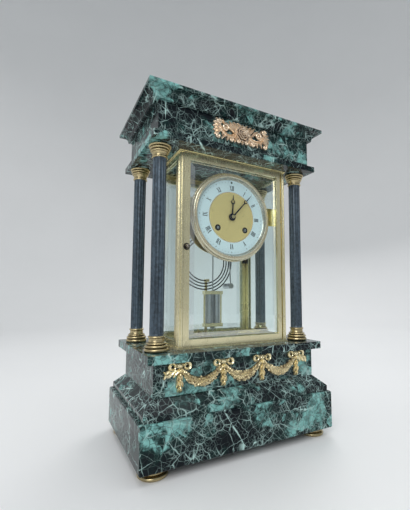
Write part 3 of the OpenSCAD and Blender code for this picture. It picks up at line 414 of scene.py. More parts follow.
def yellow_gilt(s, colours):
    return gilding(s, colours.gilt, (0.15, 0.085, 0.03), 0.17)


def gilt_bezel(s, colours):
    return worn_metal(s, colours.rose, (0.20, 0.10, 0.05), 0.17, 120.0, (1, 1, 1), 500.0, keep=0.4, metal=0.8)


# Painted reflection: a flat grey stands in for what the bezel's inner slope reflects
def silvered_ring(s, colours):
    return worn_metal(s, (0.62, 0.60, 0.56), (0.25, 0.2, 0.15), 0.2, 140.0, (1, 1, 1), 500.0)


def white_enamel(s, colours):
    """Fired enamel: white, tinted blue as a painted cool reflection, with a slow unevenness and a few hairlines."""
    base = s.place()
    cloud = s.noise(base, 35.0, 3.0)
    hair = s.cells(s.warped(base, 60.0, 0.01), 34.0).fade(0.0, 0.006, 1.0, 0.0) * cloud.fade(0.55, 0.7)
    colour = s.mix(cloud, shade(colours.enamel, 0.96), shade(colours.enamel, 1.03))
    return s.surface(
        Base_Color=s.mix(hair * 0.25, colour, (0.35, 0.36, 0.36)),
        Roughness=0.10 + 0.07 * cloud,
        Specular_IOR_Level=0.55,
        Normal=s.bump(s.noise(base, 120.0, 2.0), 0.00008, 0.2))


def matted_gilt(s, colours):
    """Gilt dial centre: fine matting over faint turned rings."""
    middle = s.place(shift=-DIAL_MIDDLE)
    ring_pitch, gold = 1.7 * MM, (0.93, 0.70, 0.31)
    rings = (s.vector("LENGTH", middle, output="Value") * (math.tau / ring_pitch)).math("SINE")
    mat = s.noise(middle, 2600.0, 2.0)
    cloud = s.noise(middle, 90.0, 4.0, 0.6)
    colour = s.mix(0.5 * cloud + 0.25 * rings + 0.25, shade(gold, 0.84), shade(gold, 1.08))
    return s.surface(
        Base_Color=s.mix(cloud.fade(0.58, 0.76) * 0.35, colour, shade(gold, 0.5)),
        Metallic=0.35,
        Roughness=0.34 + 0.12 * mat,
        Normal=s.bump(mat + 0.6 * rings, 0.00006, 0.5))


def black_ink(s, colours):
    """Painted black, a little worn."""
    wear = s.noise(s.place(), 500.0, 3.0)
    return s.surface(
        Base_Color=s.mix(wear.fade(0.62, 0.8) * 0.5, colours.ink, (0.12, 0.12, 0.14)),
        Roughness=0.24 + 0.12 * wear)


def clear_glass(s, colours):
    """Clear pane with a bevelled border: sees through, glossy at a slant and along the bevel, faintly dusty."""
    gloss = s.node("ShaderNodeBsdfPrincipled", inputs={
        "Base Color": opaque((0.95, 0.97, 0.98)), "Metallic": 1.0, "Roughness": 0.03})
    through = s.node("ShaderNodeBsdfTransparent", inputs={"Color": opaque(colours.glass)})
    slant = s.node("ShaderNodeLayerWeight", inputs={"Blend": 0.5}, output="Facing")
    dust = s.noise(s.place(), 30.0, 5.0, 0.6).fade(0.5, 0.9) * 0.02
    mirror = 0.022 + 0.9 * slant ** 5.0 + dust + 0.3 * s.attribute("bevel")
    return s.output(s.node("ShaderNodeMixShader", inputs={0: mirror, 1: through, 2: gloss}))


def pale_floor(s, colours):
    """Plain pale floor and backdrop with a barely uneven tone."""
    tone = s.noise(s.place(), 3.0, 3.0)
    return s.surface(
        Base_Color=s.mix(tone, shade(colours.floor, 0.97), shade(colours.floor, 1.02)), Roughness=0.6)


MATERIAL_MAKERS = {
    maker.__name__: maker
    for maker in (
        green_marble, turned_brass, case_brass, movement_brass, bright_steel, dark_steel, dark_bronze, blued_steel,
        dark_column, rose_gilt, yellow_gilt, gilt_bezel, silvered_ring, white_enamel, matted_gilt, black_ink,
        clear_glass, pale_floor)
}


# Mesh helpers; a surface is smooth up to these angles, in degrees

SMOOTH_ANGLE, TURNED_ANGLE, RELIEF_ANGLE, SHAFT_ANGLE, EDGE_ANGLE = 40.0, 30.0, 50.0, 60.0, 38.0
MERGE_DISTANCE, FLAT_ANGLE = 0.002 * MM, math.radians(0.6)  # what softening clears out of a CAD mesh


def new_object(name, mesh):
    """Links a finished mesh into the scene at the origin."""
    made = bpy.data.objects.new(name, mesh)
    bpy.context.scene.collection.objects.link(made)
    return made


def store(mesh, name, values, kind="FLOAT", domain="POINT"):
    """Keeps a value for each point or face of a mesh, for its material to read."""
    layer = mesh.attributes.new(name, kind, domain)
    layer.data.foreach_set("vector" if kind == "FLOAT_VECTOR" else "value", np.array(values, np.float32).ravel())


def finish_piece(piece, material_name, body, nodes=()):
    """Gives a piece its material, body and slot, and lets it stand for its CAD nodes."""
    piece.data.materials.clear()
    piece.data.materials.append(material(material_name))
    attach(piece, body)
    if nodes:
        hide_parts(*nodes)
    return piece


def fixed_piece(mesh, material_name, nodes=()):
    """A mesh as a piece of the standing clock, under the mesh's own name."""
    return finish_piece(new_object(mesh.name, mesh), material_name, "clock", nodes)


def applied(piece):
    """Turns a piece with modifiers into a plain mesh."""
    graph = bpy.context.evaluated_depsgraph_get()
    mesh = bpy.data.meshes.new_from_object(piece.evaluated_get(graph), depsgraph=graph)
    piece.modifiers.clear()
    piece.data = mesh
    return piece


def body_of(node):
    return next(b for b, members in frame["record"]["behaviour"]["bodies"].items() if node in members)


def middle_of(node):
    lo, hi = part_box(node)
    return (lo + hi) / 2


def softened(node, edge, segments, smooth_angle):
    """Copy of a CAD node with its sharp edges rounded."""
    mesh = frame["nodes"][node].data.copy()
    bm = bmesh.new()
    bm.from_mesh(mesh)
    bmesh.ops.remove_doubles(bm, verts=bm.verts, dist=MERGE_DISTANCE)
    bmesh.ops.dissolve_limit(bm, angle_limit=FLAT_ANGLE, verts=bm.verts, edges=bm.edges)
    bm.to_mesh(mesh)
    bm.free()
    old_normals = mesh.attributes.get("custom_normal")
    if old_normals:
        mesh.attributes.remove(old_normals)
    mesh.shade_smooth()
    piece = new_object("dressed_" + node, mesh)
    if not edge:
        mesh.set_sharp_from_angle(angle=math.radians(smooth_angle))
        return piece
    rounding = piece.modifiers.new("edge", "BEVEL")
    rounding.width = edge
    rounding.segments = segments
    rounding.limit_method = "ANGLE"
    rounding.angle_limit = math.radians(smooth_angle)
    rounding.harden_normals = True
    return applied(piece)


def dressed(node, material_name, edge, segments=2, smooth_angle=EDGE_ANGLE):
    """Softened copy of a CAD node that stands for it."""
    piece = softened(node, edge, segments, smooth_angle)
    return finish_piece(piece, material_name, body_of(node), [node])


def dress(nodes, material_name, edge, height=None):
    """Softened copies of several CAD nodes, at one height for the tarnishing and painted shade where it is given."""
    for node in nodes:
        mesh = dressed(node, material_name, edge).data
        if height is not None:
            store(mesh, "relief", [height] * len(mesh.vertices))


# Repeating patterns

BLOSSOM_FRONT, BLOSSOM_DENSITY, BLOSSOM_SIZES = -0.25, 2.0e6, (0.75, 1.25)


def made_real(pattern, copies, kept=None):
    """Ends a pattern: copies made real, joined to what is kept under them, in the pattern's material."""
    whole = pattern.node("GeometryNodeRealizeInstances", inputs={0: copies})
    if kept:
        whole = pattern.node("GeometryNodeJoinGeometry", inputs={0: whole})
        pattern.tree.links.new(kept.socket, whole.socket.node.inputs[0])
    return pattern.output(pattern.node("GeometryNodeSetMaterial", inputs={
        "Geometry": whole, "Material": pattern.input("Material")}))


def ring_pattern():
    """Copies of the piece itself, turned round the Y axis in even steps."""
    g = Pattern("ring_of_copies", [("Count", "NodeSocketInt"), ("Material", "NodeSocketMaterial")])
    count = g.input("Count")
    turn = g.node("GeometryNodeInputIndex") / count * math.tau
    spin = g.node("FunctionNodeEulerToRotation", inputs={0: g.node("ShaderNodeCombineXYZ", inputs={"Y": turn})})
    return made_real(g, g.node("GeometryNodeInstanceOnPoints", inputs={
        "Points": g.node("GeometryNodePoints", inputs={"Count": count}),
        "Instance": g.input("Geometry"), "Rotation": spin}))


def scatter_pattern():
    """Blossoms strewn over the front of the piece, with the piece kept under them."""
    g = Pattern("strewn_blossoms", [
        ("Blossom", "NodeSocketObject"), ("Spacing", "NodeSocketFloat"), ("Seed", "NodeSocketInt"),
        ("Material", "NodeSocketMaterial")])
    facing = g.node("ShaderNodeSeparateXYZ", inputs={0: g.node("GeometryNodeInputNormal")}, output="Y")
    front = g.node("FunctionNodeCompare", {"operation": "LESS_THAN"}, {0: facing, 1: BLOSSOM_FRONT})
    spread = g.node("GeometryNodeDistributePointsOnFaces", {"distribute_method": "POISSON"}, {
        "Mesh": g.input("Geometry"), "Selection": front, "Distance Min": g.input("Spacing"),
        "Density Max": BLOSSOM_DENSITY, "Seed": g.input("Seed")})
    smallest, largest = BLOSSOM_SIZES
    size = g.node("FunctionNodeRandomValue", {"data_type": "FLOAT"}, {
        2: smallest, 3: largest, "Seed": g.input("Seed")}, 1)
    blossom = g.node("GeometryNodeObjectInfo", inputs={0: g.input("Blossom")}, output="Geometry")
    copies = g.node("GeometryNodeInstanceOnPoints", inputs={
        "Points": spread, "Rotation": Value(g, spread.socket.node.outputs["Rotation"]), "Scale": size,
        "Instance": blossom})
    return made_real(g, copies, g.input("Geometry"))


def patterned(mesh, tree, place=(0, 0, 0), **inputs):
    """A mesh run through a pattern, made plain and moved; inputs go by the pattern's socket names."""
    piece = new_object(mesh.name, mesh)
    repeat = piece.modifiers.new("pattern", "NODES")
    repeat.node_group = tree
    for item in tree.interface.items_tree:
        label = item.name.lower()
        if item.in_out == "INPUT" and label in inputs:
            repeat[item.identifier] = inputs[label]
    whole = applied(piece).data
    whole.transform(Matrix.Translation(place))
    bpy.data.objects.remove(piece)
    return whole


# Solids built up from points

def turns(count):
    """Even steps of a full turn."""
    return np.linspace(0, math.tau, count, False)


def bridged(low, high, n):
    """Quads between two rings of n points, given by the index of their first points."""
    return [(low + i, low + (i + 1) % n, high + (i + 1) % n, high + i) for i in range(n)]


def capped(start, rings, n):
    """Faces of a closed skin through rings of n points that lie one after another."""
    last = start + (rings - 1) * n
    sides = [face for low in range(start, last, n) for face in bridged(low, low + n, n)]
    return sides + [tuple(range(start, start + n)), tuple(range(last, last + n))]


def mesh_from(name, points, faces):
    mesh = bpy.data.meshes.new(name)
    mesh.from_pydata([tuple(p) for p in points], [], faces)
    mesh.validate()
    mesh.shade_smooth()
    return mesh


def closed_mesh(name, points, faces, smooth_angle=SMOOTH_ANGLE):
    """Closed mesh with outward normals, smooth up to an angle."""
    mesh = mesh_from(name, points, faces)
    bm = bmesh.new()
    bm.from_mesh(mesh)
    bmesh.ops.recalc_face_normals(bm, faces=bm.faces)
    bm.to_mesh(mesh)
    bm.free()
    mesh.shade_smooth()
    mesh.set_sharp_from_angle(angle=math.radians(smooth_angle))
    return mesh


def prisms(name, outlines, depth):
    """Flat plates on the plane y = 0, with x-z outlines and a depth towards the viewer in millimetres."""
    points, faces = [], []
    for outline in outlines:
        faces += capped(len(points), 2, len(outline))
        points += [(x * MM, y * MM, z * MM) for y in (-depth, 0.0) for x, z in outline]
    return closed_mesh(name, points, faces)


def lathe(name, profile, place, around=160):
    """Ring turned about the Y axis; the profile is a closed loop of radius and reach to the viewer in millimetres."""
    n = len(profile)
    points = [
        (place[0] + r * MM * math.sin(t), place[1] - u * MM, place[2] + r * MM * math.cos(t))
        for t in turns(around) for r, u in profile]
    faces = [face for k in range(around) for face in bridged(k * n, (k + 1) % around * n, n)]
    return closed_mesh(name, points, faces, TURNED_ANGLE)


def joined(name, meshes, smooth_angle=SMOOTH_ANGLE):
    """Several meshes as one, with their heights where they have them."""
    points, faces, heights = [], [], []
    for mesh in meshes:
        start = len(points)
        points += [v.co.copy() for v in mesh.vertices]
        faces += [tuple(start + i for i in p.vertices) for p in mesh.polygons]
        layer = mesh.attributes.get("relief")
        heights += [d.value for d in layer.data] if layer else [1.0] * len(mesh.vertices)
    whole = closed_mesh(name, points, faces, smooth_angle)
    store(whole, "relief", heights)
    return whole


# Marble

class CLOCK_OT_marble(bpy.types.Operator):
    """Marble blocks of the plinth and entablature, with softened edges"""
    bl_idname = "clock.marble"
    bl_label = "Marble"

    def execute(self, context):
        for node in MARBLE_NODES:
            mesh = dressed(node, "green_marble", context.scene.clock_sizes.stone_edge, 3).data
            store(mesh, "slab", [slab_place(node)] * len(mesh.vertices), "FLOAT_VECTOR")
        return {"FINISHED"}


# Columns and turned brass

SHAFT_NODES = tuple("column_shaft_" + c for c in ("front_left", "front_right", "rear_left", "rear_right"))
FLUTE_DEPTH = 0.085  # share of the shaft's radius
FLUTE_FULLNESS = 1.15  # above 1, a narrow ridge is left plain between two flutes
FLUTE_MARGIN, FLUTE_STOP = 1 * MM, 5 * MM  # plain ring at each end, and the curve that ends a flute
FLUTE_POINTS, FLUTE_LEVELS = 12, 8
TURNED_AROUND = 64
FEET_HEIGHT, BOB_HEIGHT = 0.55, 0.8  # how clean of tarnishing and painted shade feet and bob are


def fluted_shaft(node, count):
    """Shaft with round-bottomed flutes that end in a curve near the base and the capital."""
    lo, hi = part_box(node)
    middle = middle_of(node)
    radius = (hi.x - lo.x) / 2
    angles = turns(count * FLUTE_POINTS)
    ends = np.linspace(0, FLUTE_STOP, FLUTE_LEVELS)
    levels = np.concatenate([
        lo.z + ends, np.linspace(lo.z + 2 * FLUTE_STOP, hi.z - 2 * FLUTE_STOP, FLUTE_LEVELS),
        hi.z - FLUTE_STOP + ends])
    wave = np.abs(np.cos(angles * count / 2))
    cut = np.sqrt(np.clip(1 - (1 - wave) ** 2 * FLUTE_FULLNESS, 0, 1))
    points, ridge = [], []
    for z in levels:
        near = min(z - lo.z, hi.z - z) - FLUTE_MARGIN
        share = math.sqrt(max(0.0, 1 - max(0.0, 1 - near / FLUTE_STOP) ** 2)) if near > 0 else 0.0
        reach = radius * (1 - FLUTE_DEPTH * share * cut)
        points += [(middle.x + r * math.cos(t), middle.y + r * math.sin(t), z) for r, t in zip(reach, angles)]
        ridge += list(1 - share * cut)
    mesh = closed_mesh("fluted_" + node, points, capped(0, len(levels), len(angles)), SHAFT_ANGLE)
    store(mesh, "ridge", ridge)
    return mesh


def bead(inner, outer, low, high, steps=9):
    """Half-round ring in a turned profile: radius, height and how far it stands out of its hollows."""
    return [
        (inner + (outer - inner) * math.cos(a), (low + high) / 2 + (high - low) / 2 * math.sin(a), math.cos(a))
        for a in np.linspace(-math.pi / 2, math.pi / 2, steps)]


# Profiles from the foot up, in millimetres before they are fitted to the CAD node; each point's third number is the
# height for tarnishing and painted shade in the grooves
TURNED_BORE = 3.0
TURNED_PROFILES = {
    "column_bases": [
        *bead(12.2, 14.0, 0.0, 4.2), *bead(10.8, 13.2, 4.4, 8.0), *bead(9.4, 11.4, 8.2, 10.8), (9.4, 11.0, 0.4),
        (8.9, 12.4, 0.8), (8.7, 14.0, 0.9), (8.7, 15.4, 0.5), *bead(8.2, 9.9, 15.6, 18.0)],
    "column_capitals": [
        *bead(8.2, 9.8, 0.0, 2.2), (8.8, 2.4, 0.5), (8.9, 4.0, 0.9), (9.3, 5.6, 0.9), (10.0, 7.0, 0.5),
        *bead(9.4, 11.3, 7.2, 10.2), *bead(10.4, 12.5, 10.3, 13.3), *bead(11.4, 13.7, 13.4, 16.5)],
}


def turned_column_part(node):
    """Ringed base or capital on each of the four columns, to the size of its CAD node."""
    lo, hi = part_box(node)
    middles = [middle_of(shaft) for shaft in SHAFT_NODES]
    drawn = TURNED_PROFILES[node]
    radius, tall = (hi.x - max(m.x for m in middles)) / MM, (hi.z - lo.z) / MM
    wider, taller = radius / max(r for r, _, _ in drawn), tall / drawn[-1][1]
    profile = [(TURNED_BORE, 0.0), *((r * wider, z * taller) for r, z, _ in drawn), (TURNED_BORE, tall)]
    heights = [0.0, *(h for _, _, h in drawn), 0.0]
    parts = []
    for middle in middles:
        part = lathe(node, profile, (0.0, 0.0, 0.0), TURNED_AROUND)
        store(part, "relief", heights * TURNED_AROUND)
        part.transform(Matrix.Translation((middle.x, middle.y, lo.z)) @ Matrix.Rotation(-math.pi / 2, 4, "X"))
        parts.append(part)
    return joined("turned_" + node, parts, RELIEF_ANGLE)


class CLOCK_OT_columns(bpy.types.Operator):
    """Fluted column shafts and the turned brass of bases, capitals and feet"""
    bl_idname = "clock.columns"
    bl_label = "Columns"

    def execute(self, context):
        sizes = context.scene.clock_sizes
        for node in SHAFT_NODES:
            fixed_piece(fluted_shaft(node, sizes.flutes), "dark_column", nodes=[node])
        for node in TURNED_PROFILES:
            fixed_piece(turned_column_part(node), "turned_brass", [node])
        dress(["bun_feet"], "turned_brass", sizes.brass_edge, FEET_HEIGHT)
        return {"FINISHED"}


# Glazed case, movement and other CAD nodes that keep their shape

BRASS_CASE_NODES = (
    "case_bottom_frame", "case_top_frame", "case_posts", "front_door_frame", "rear_door_frame", "dial_straps")
GLASS_NODES = ("side_glass_left", "side_glass_right", "front_door_glass", "rear_door_glass")
BLACK_NODES = ("front_latch_blade", "rear_latch_blade", "tie_rods", "tie_nuts", "front_door_pins", "rear_door_pins")
MOVEMENT_NODES = (
    "dial_plate", "front_plate", "back_plate", "plate_pillars", "centre_arbor", "minute_wheel", "hour_wheel",
    "going_barrel", "strike_barrel", "escape_wheel", "suspension_cock", "gong_stand", "hand_nut")
STEEL_NODES = ("going_arbor", "strike_arbor", "pallets", "pendulum_rod", "hammer", "bob_vials")
COLLAR_PROFILE = ((-0.9, 0.05), (1.0, 0.05), (1.0, 0.6), (0.5, 1.15), (-0.4, 1.3), (-0.9, 1.2))
SQUARE_ON = 0.999  # a face leans when no part of its normal reaches this


def add_collar(side, front):
    """Dark ring round a door knob, which adds to the knob's painted dark reflection; its profile starts from the
    knob's radius and the door's face.
    """
    knob = side + "_door_knob"
    middle = middle_of(knob)
    radius = (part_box(knob)[1].x - middle.x) / MM
    middle.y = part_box(side + "_door_frame")[0 if front > 0 else 1].y
    ring = lathe(side + "_collar", [(radius + r, front * u) for r, u in COLLAR_PROFILE], middle, 40)
    finish_piece(new_object(ring.name, ring), "dark_steel", body_of(knob))


class CLOCK_OT_case(bpy.types.Operator):
    """Brass frames, posts and doors of the glazed case, with their panes"""
    bl_idname = "clock.case"
    bl_label = "Glazed Case"

    def execute(self, context):
        sizes = context.scene.clock_sizes
        dress(BRASS_CASE_NODES, "case_brass", sizes.brass_edge)
        dress(("front_door_knob", "rear_door_knob"), "dark_bronze", sizes.brass_edge)
        for node in GLASS_NODES:
            pane = dressed(node, "clear_glass", 0.0, smooth_angle=1.0).data
            leaning = [max(abs(c) for c in face.normal) < SQUARE_ON for face in pane.polygons]
            store(pane, "bevel", leaning, domain="FACE")
        dress(BLACK_NODES, "dark_steel", sizes.steel_edge)
        add_collar("front", 1)
        add_collar("rear", -1)
        return {"FINISHED"}


class CLOCK_OT_movement(bpy.types.Operator):
    """Movement between its plates, pendulum, hammer and gong"""
    bl_idname = "clock.movement"
    bl_label = "Movement"

    def execute(self, context):
        sizes = context.scene.clock_sizes
        dress(MOVEMENT_NODES, "movement_brass", sizes.steel_edge)
        dress(STEEL_NODES, "bright_steel", sizes.steel_edge)
        dress(["pendulum_bob"], "yellow_gilt", sizes.brass_edge, BOB_HEIGHT)
        dress(["gong"], "dark_steel", 0.0)
        return {"FINISHED"}


# Dial, in millimetres about its middle

NUMERALS = ("XII", "I", "II", "III", "IIII", "V", "VI", "VII", "VIII", "IX", "X", "XI")
NUMERAL_FOOT, NUMERAL_HEIGHT = 37.0, 6.8
TRACK_INNER, TRACK_OUTER = 47.5, 49.1
MINUTE_MARK, FIVE_MINUTE_MARK = 0.22, 0.75
INK_DEPTH = 0.05
THICK, THIN, SERIF = 1.0, 0.36, 0.28
SERIF_REACH = {THICK: 0.78, THIN: 0.62}
# Letters: width, and strokes as x at the top, x at the foot and thickness
LETTERS = {
    "I": (1.62, [(0.0, 0.0, THICK)]),
    "V": (3.7, [(-1.15, 0.12, THICK), (1.2, 0.12, THIN)]),
    "X": (3.9, [(-1.2, 1.2, THICK), (1.2, -1.2, THIN)]),
}
BEZEL_LO, BEZEL_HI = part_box("bezel")
BEZEL_R, BEZEL_DEEP = (BEZEL_HI.x - BEZEL_LO.x) / 2 / MM, (BEZEL_HI.y - BEZEL_LO.y) / MM
CENTRE_LO, CENTRE_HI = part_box("dial_centre")
CENTRE_R, RING_R = (CENTRE_HI.x - CENTRE_LO.x) / 2 / MM, (DIAL_HI.x - DIAL_LO.x) / 2 / MM
CENTRE_FILLET = ((-0.9, -0.4), (0.35, -0.1), (0.2, 0.25), (-0.3, 0.38), (-0.8, 0.2))
WINDING_RIM = (
    (2.75, -1.0), (3.6, -1.0), (3.6, 0.0), (4.1, 0.0), (4.1, 0.25), (3.8, 0.45), (3.0, 0.4), (2.75, 0.1))


def bar(x, half, low, high, lean=0.0):
    """Outline of an upright bar about x, whose top leans over."""
    return [(x - half, low), (x + half, low), (x + lean + half, high), (x + lean - half, high)]


def letter_outlines(letter, x):
    """Outlines of one Roman letter about x: its strokes and their thin serifs, which the foot of a V goes without."""
    outlines = []
    for top, foot, width in LETTERS[letter][1]:
        outlines.append(bar(x + foot, width / 2, 0.0, NUMERAL_HEIGHT, top - foot))
        ends = [(top, NUMERAL_HEIGHT - SERIF)] + [(foot, 0.0)] * (letter != "V")
        outlines += [bar(x + end, SERIF_REACH[width], z, z + SERIF) for end, z in ends]
    return outlines


def numeral_outlines(hour):
    """Outlines of an hour numeral, set radially on the chapter ring."""
    c, s = math.cos(math.radians(30 * hour)), math.sin(math.radians(30 * hour))
    x = -sum(LETTERS[letter][0] for letter in NUMERALS[hour]) / 2
    outlines = []
    for letter in NUMERALS[hour]:
        width = LETTERS[letter][0]
        outlines += [
            [(p * c + (NUMERAL_FOOT + q) * s, -p * s + (NUMERAL_FOOT + q) * c) for p, q in outline]
            for outline in letter_outlines(letter, x + width / 2)]
        x += width
    return outlines


def add_track(name, width, count):
    """Marks of the minute track, repeated round the dial."""
    mark = prisms(name, [bar(0.0, width / 2, TRACK_INNER, TRACK_OUTER)], INK_DEPTH)
    ring = patterned(mark, ring_pattern(), DIAL_MIDDLE, count=count, material=material("black_ink"))
    finish_piece(new_object(name, ring), "black_ink", "clock")


def rounded(r0, u0, r1, u1, steps):
    """Quarter of an ellipse in a lathe profile, from the outer wall to the front."""
    return [
        (r1 + (r0 - r1) * math.cos(a), u0 + (u1 - u0) * math.sin(a)) for a in np.linspace(0, math.pi / 2, steps)]


def add_bezel():
    """Stepped gilt bezel with a slope down to the chapter ring, painted grey as a reflection."""
    back = (0.0, BEZEL_HI.y, DIAL_MIDDLE.z)
    r, deep = BEZEL_R, BEZEL_DEEP
    shell = [
        (RING_R + 0.15, 0), (r, 0), (r, 1.7), *rounded(r, 1.7, r - 1.2, 2.7, 5),
        *rounded(r - 1.3, deep - 3.4, r - 4.6, deep - 0.5, 12), (r - 4.8, deep - 0.9), (r - 5.1, deep - 0.9),
        *rounded(r - 5.2, deep - 0.5, r - 5.8, deep, 5), (r - 6.3, deep), (r - 6.9, deep - 0.3),
        (r - 7.1, deep - 1.2), (RING_R + 0.15, 2.4)]
    fixed_piece(lathe("bezel_shell", shell, back), "gilt_bezel", nodes=["bezel"])
    slope = [
        (r - 7.15, deep - 1.25), (r - 7.5, deep - 1.35), (RING_R - 0.1, 2.5), (RING_R - 0.6, 2.1),
        (RING_R - 0.6, 1.75), (RING_R + 0.1, 1.75), (RING_R + 0.3, 2.3)]
    fixed_piece(lathe("bezel_slope", slope, back), "silvered_ring")


def add_rims():
    """Gilt fillet round the dial centre and dark rims in the winding holes."""
    fillet = lathe("centre_fillet", [(CENTRE_R + r, u) for r, u in CENTRE_FILLET], DIAL_MIDDLE)
    fixed_piece(fillet, "gilt_bezel")
    rims = []
    for node in ("going_arbor", "strike_arbor"):
        middle = middle_of(node)
        middle.y = CENTRE_LO.y
        rims.append(lathe("rim", WINDING_RIM, middle, 48))
    fixed_piece(joined("winding_rims", rims), "blued_steel")


class CLOCK_OT_dial(bpy.types.Operator):
    """Enamel ring with numerals, gilt centre, bezel and hands"""
    bl_idname = "clock.dial"
    bl_label = "Dial"

    def execute(self, context):
        edge = context.scene.clock_sizes.steel_edge
        dress(["dial_ring"], "white_enamel", edge)
        dress(["dial_centre"], "matted_gilt", edge)
        dress(["hour_hand", "minute_hand"], "blued_steel", edge)
        outlines = [outline for hour in range(12) for outline in numeral_outlines(hour)]
        numerals = prisms("numerals", outlines, INK_DEPTH)
        numerals.transform(Matrix.Translation(DIAL_MIDDLE))
        fixed_piece(numerals, "black_ink")
        add_track("minute_marks", MINUTE_MARK, 60)
        add_track("five_minute_marks", FIVE_MINUTE_MARK, 12)
        add_bezel()
        add_rims()
        return {"FINISHED"}


# Reliefs of the gilt mounts: each is gathered from strips, leaves and buttons on a front face, in millimetres

def section(*half):
    """Cross-section of a strip from its left half, which ends in the middle: place across and share of the crown."""
    return [*half, *((-across, share) for across, share in half[-2::-1])]


SECTIONS = {
    "dome": [(math.sin(a), 0.22 + 0.78 * math.cos(a)) for a in np.linspace(-math.pi / 2, math.pi / 2, 9)],
    "leaf": section((-1, 0.2), (-0.85, 0.55), (-0.55, 0.95), (-0.25, 0.9), (0, 0.5)),
    "ribbon": section((-1, 0.6), (-0.9, 0.95), (-0.7, 0.9), (-0.3, 0.62), (0, 0.55)),
    "scroll": section((-1, 0.3), (-0.85, 0.8), (-0.6, 0.9), (-0.45, 0.6), (0, 0.95)),
}
DOME_RINGS, DOME_TURN, LOBE_DEPTH = 7, 0.48 * math.pi, 0.16  # of a button
# Rings of one row of rose petals: share of the way in, rise and height for the tarnishing and painted shade between
# the rows
ROSE_PETAL = ((0.0, 0.0, 0.0), (0.14, 1.5, 0.9), (0.5, 1.7, 1.0), (1.0, 0.4, 0.0))
# Rings of a blossom: share of its radius, rise as a share of it, height for the tarnishing and painted shade, and
# depth of the petals
BLOSSOM_RINGS = (
    (0.85, -0.3, 0.0, 0.2), (1.0, 0.25, 0.6, 0.2), (0.62, 0.62, 1.0, 0.2),
    (0.34, 0.34, 0.2, 0.0), (0.14, 0.7, 1.0, 0.0))
BLOSSOM_PETALS = 5


def times(size, *shares):
    return [size * share for share in shares]


def curve(points, steps):
    """Smooth curve through points."""
    p = np.array(points, float)
    p = np.vstack([2 * p[0] - p[1], p, 2 * p[-1] - p[-2]])
    spans = len(points) - 1
    out = []
    for t in np.linspace(0, spans, steps):
        i = min(int(t), spans - 1)
        f = t - i
        a, b, c, d = p[i:i + 4]
        out.append(0.5 * (2 * b + (c - a) * f + (2 * a - 5 * b + 4 * c - d) * f ** 2
                          + (3 * b - a - 3 * c + d) * f ** 3))
    return np.array(out)


def arc(x, z, radius, start, end, steps):
    """Arc about x and z; the radius may be one number or one for each step."""
    turn = np.radians(np.linspace(start, end, steps))
    return np.stack([x + radius * np.cos(turn), z + radius * np.sin(turn)], 1)


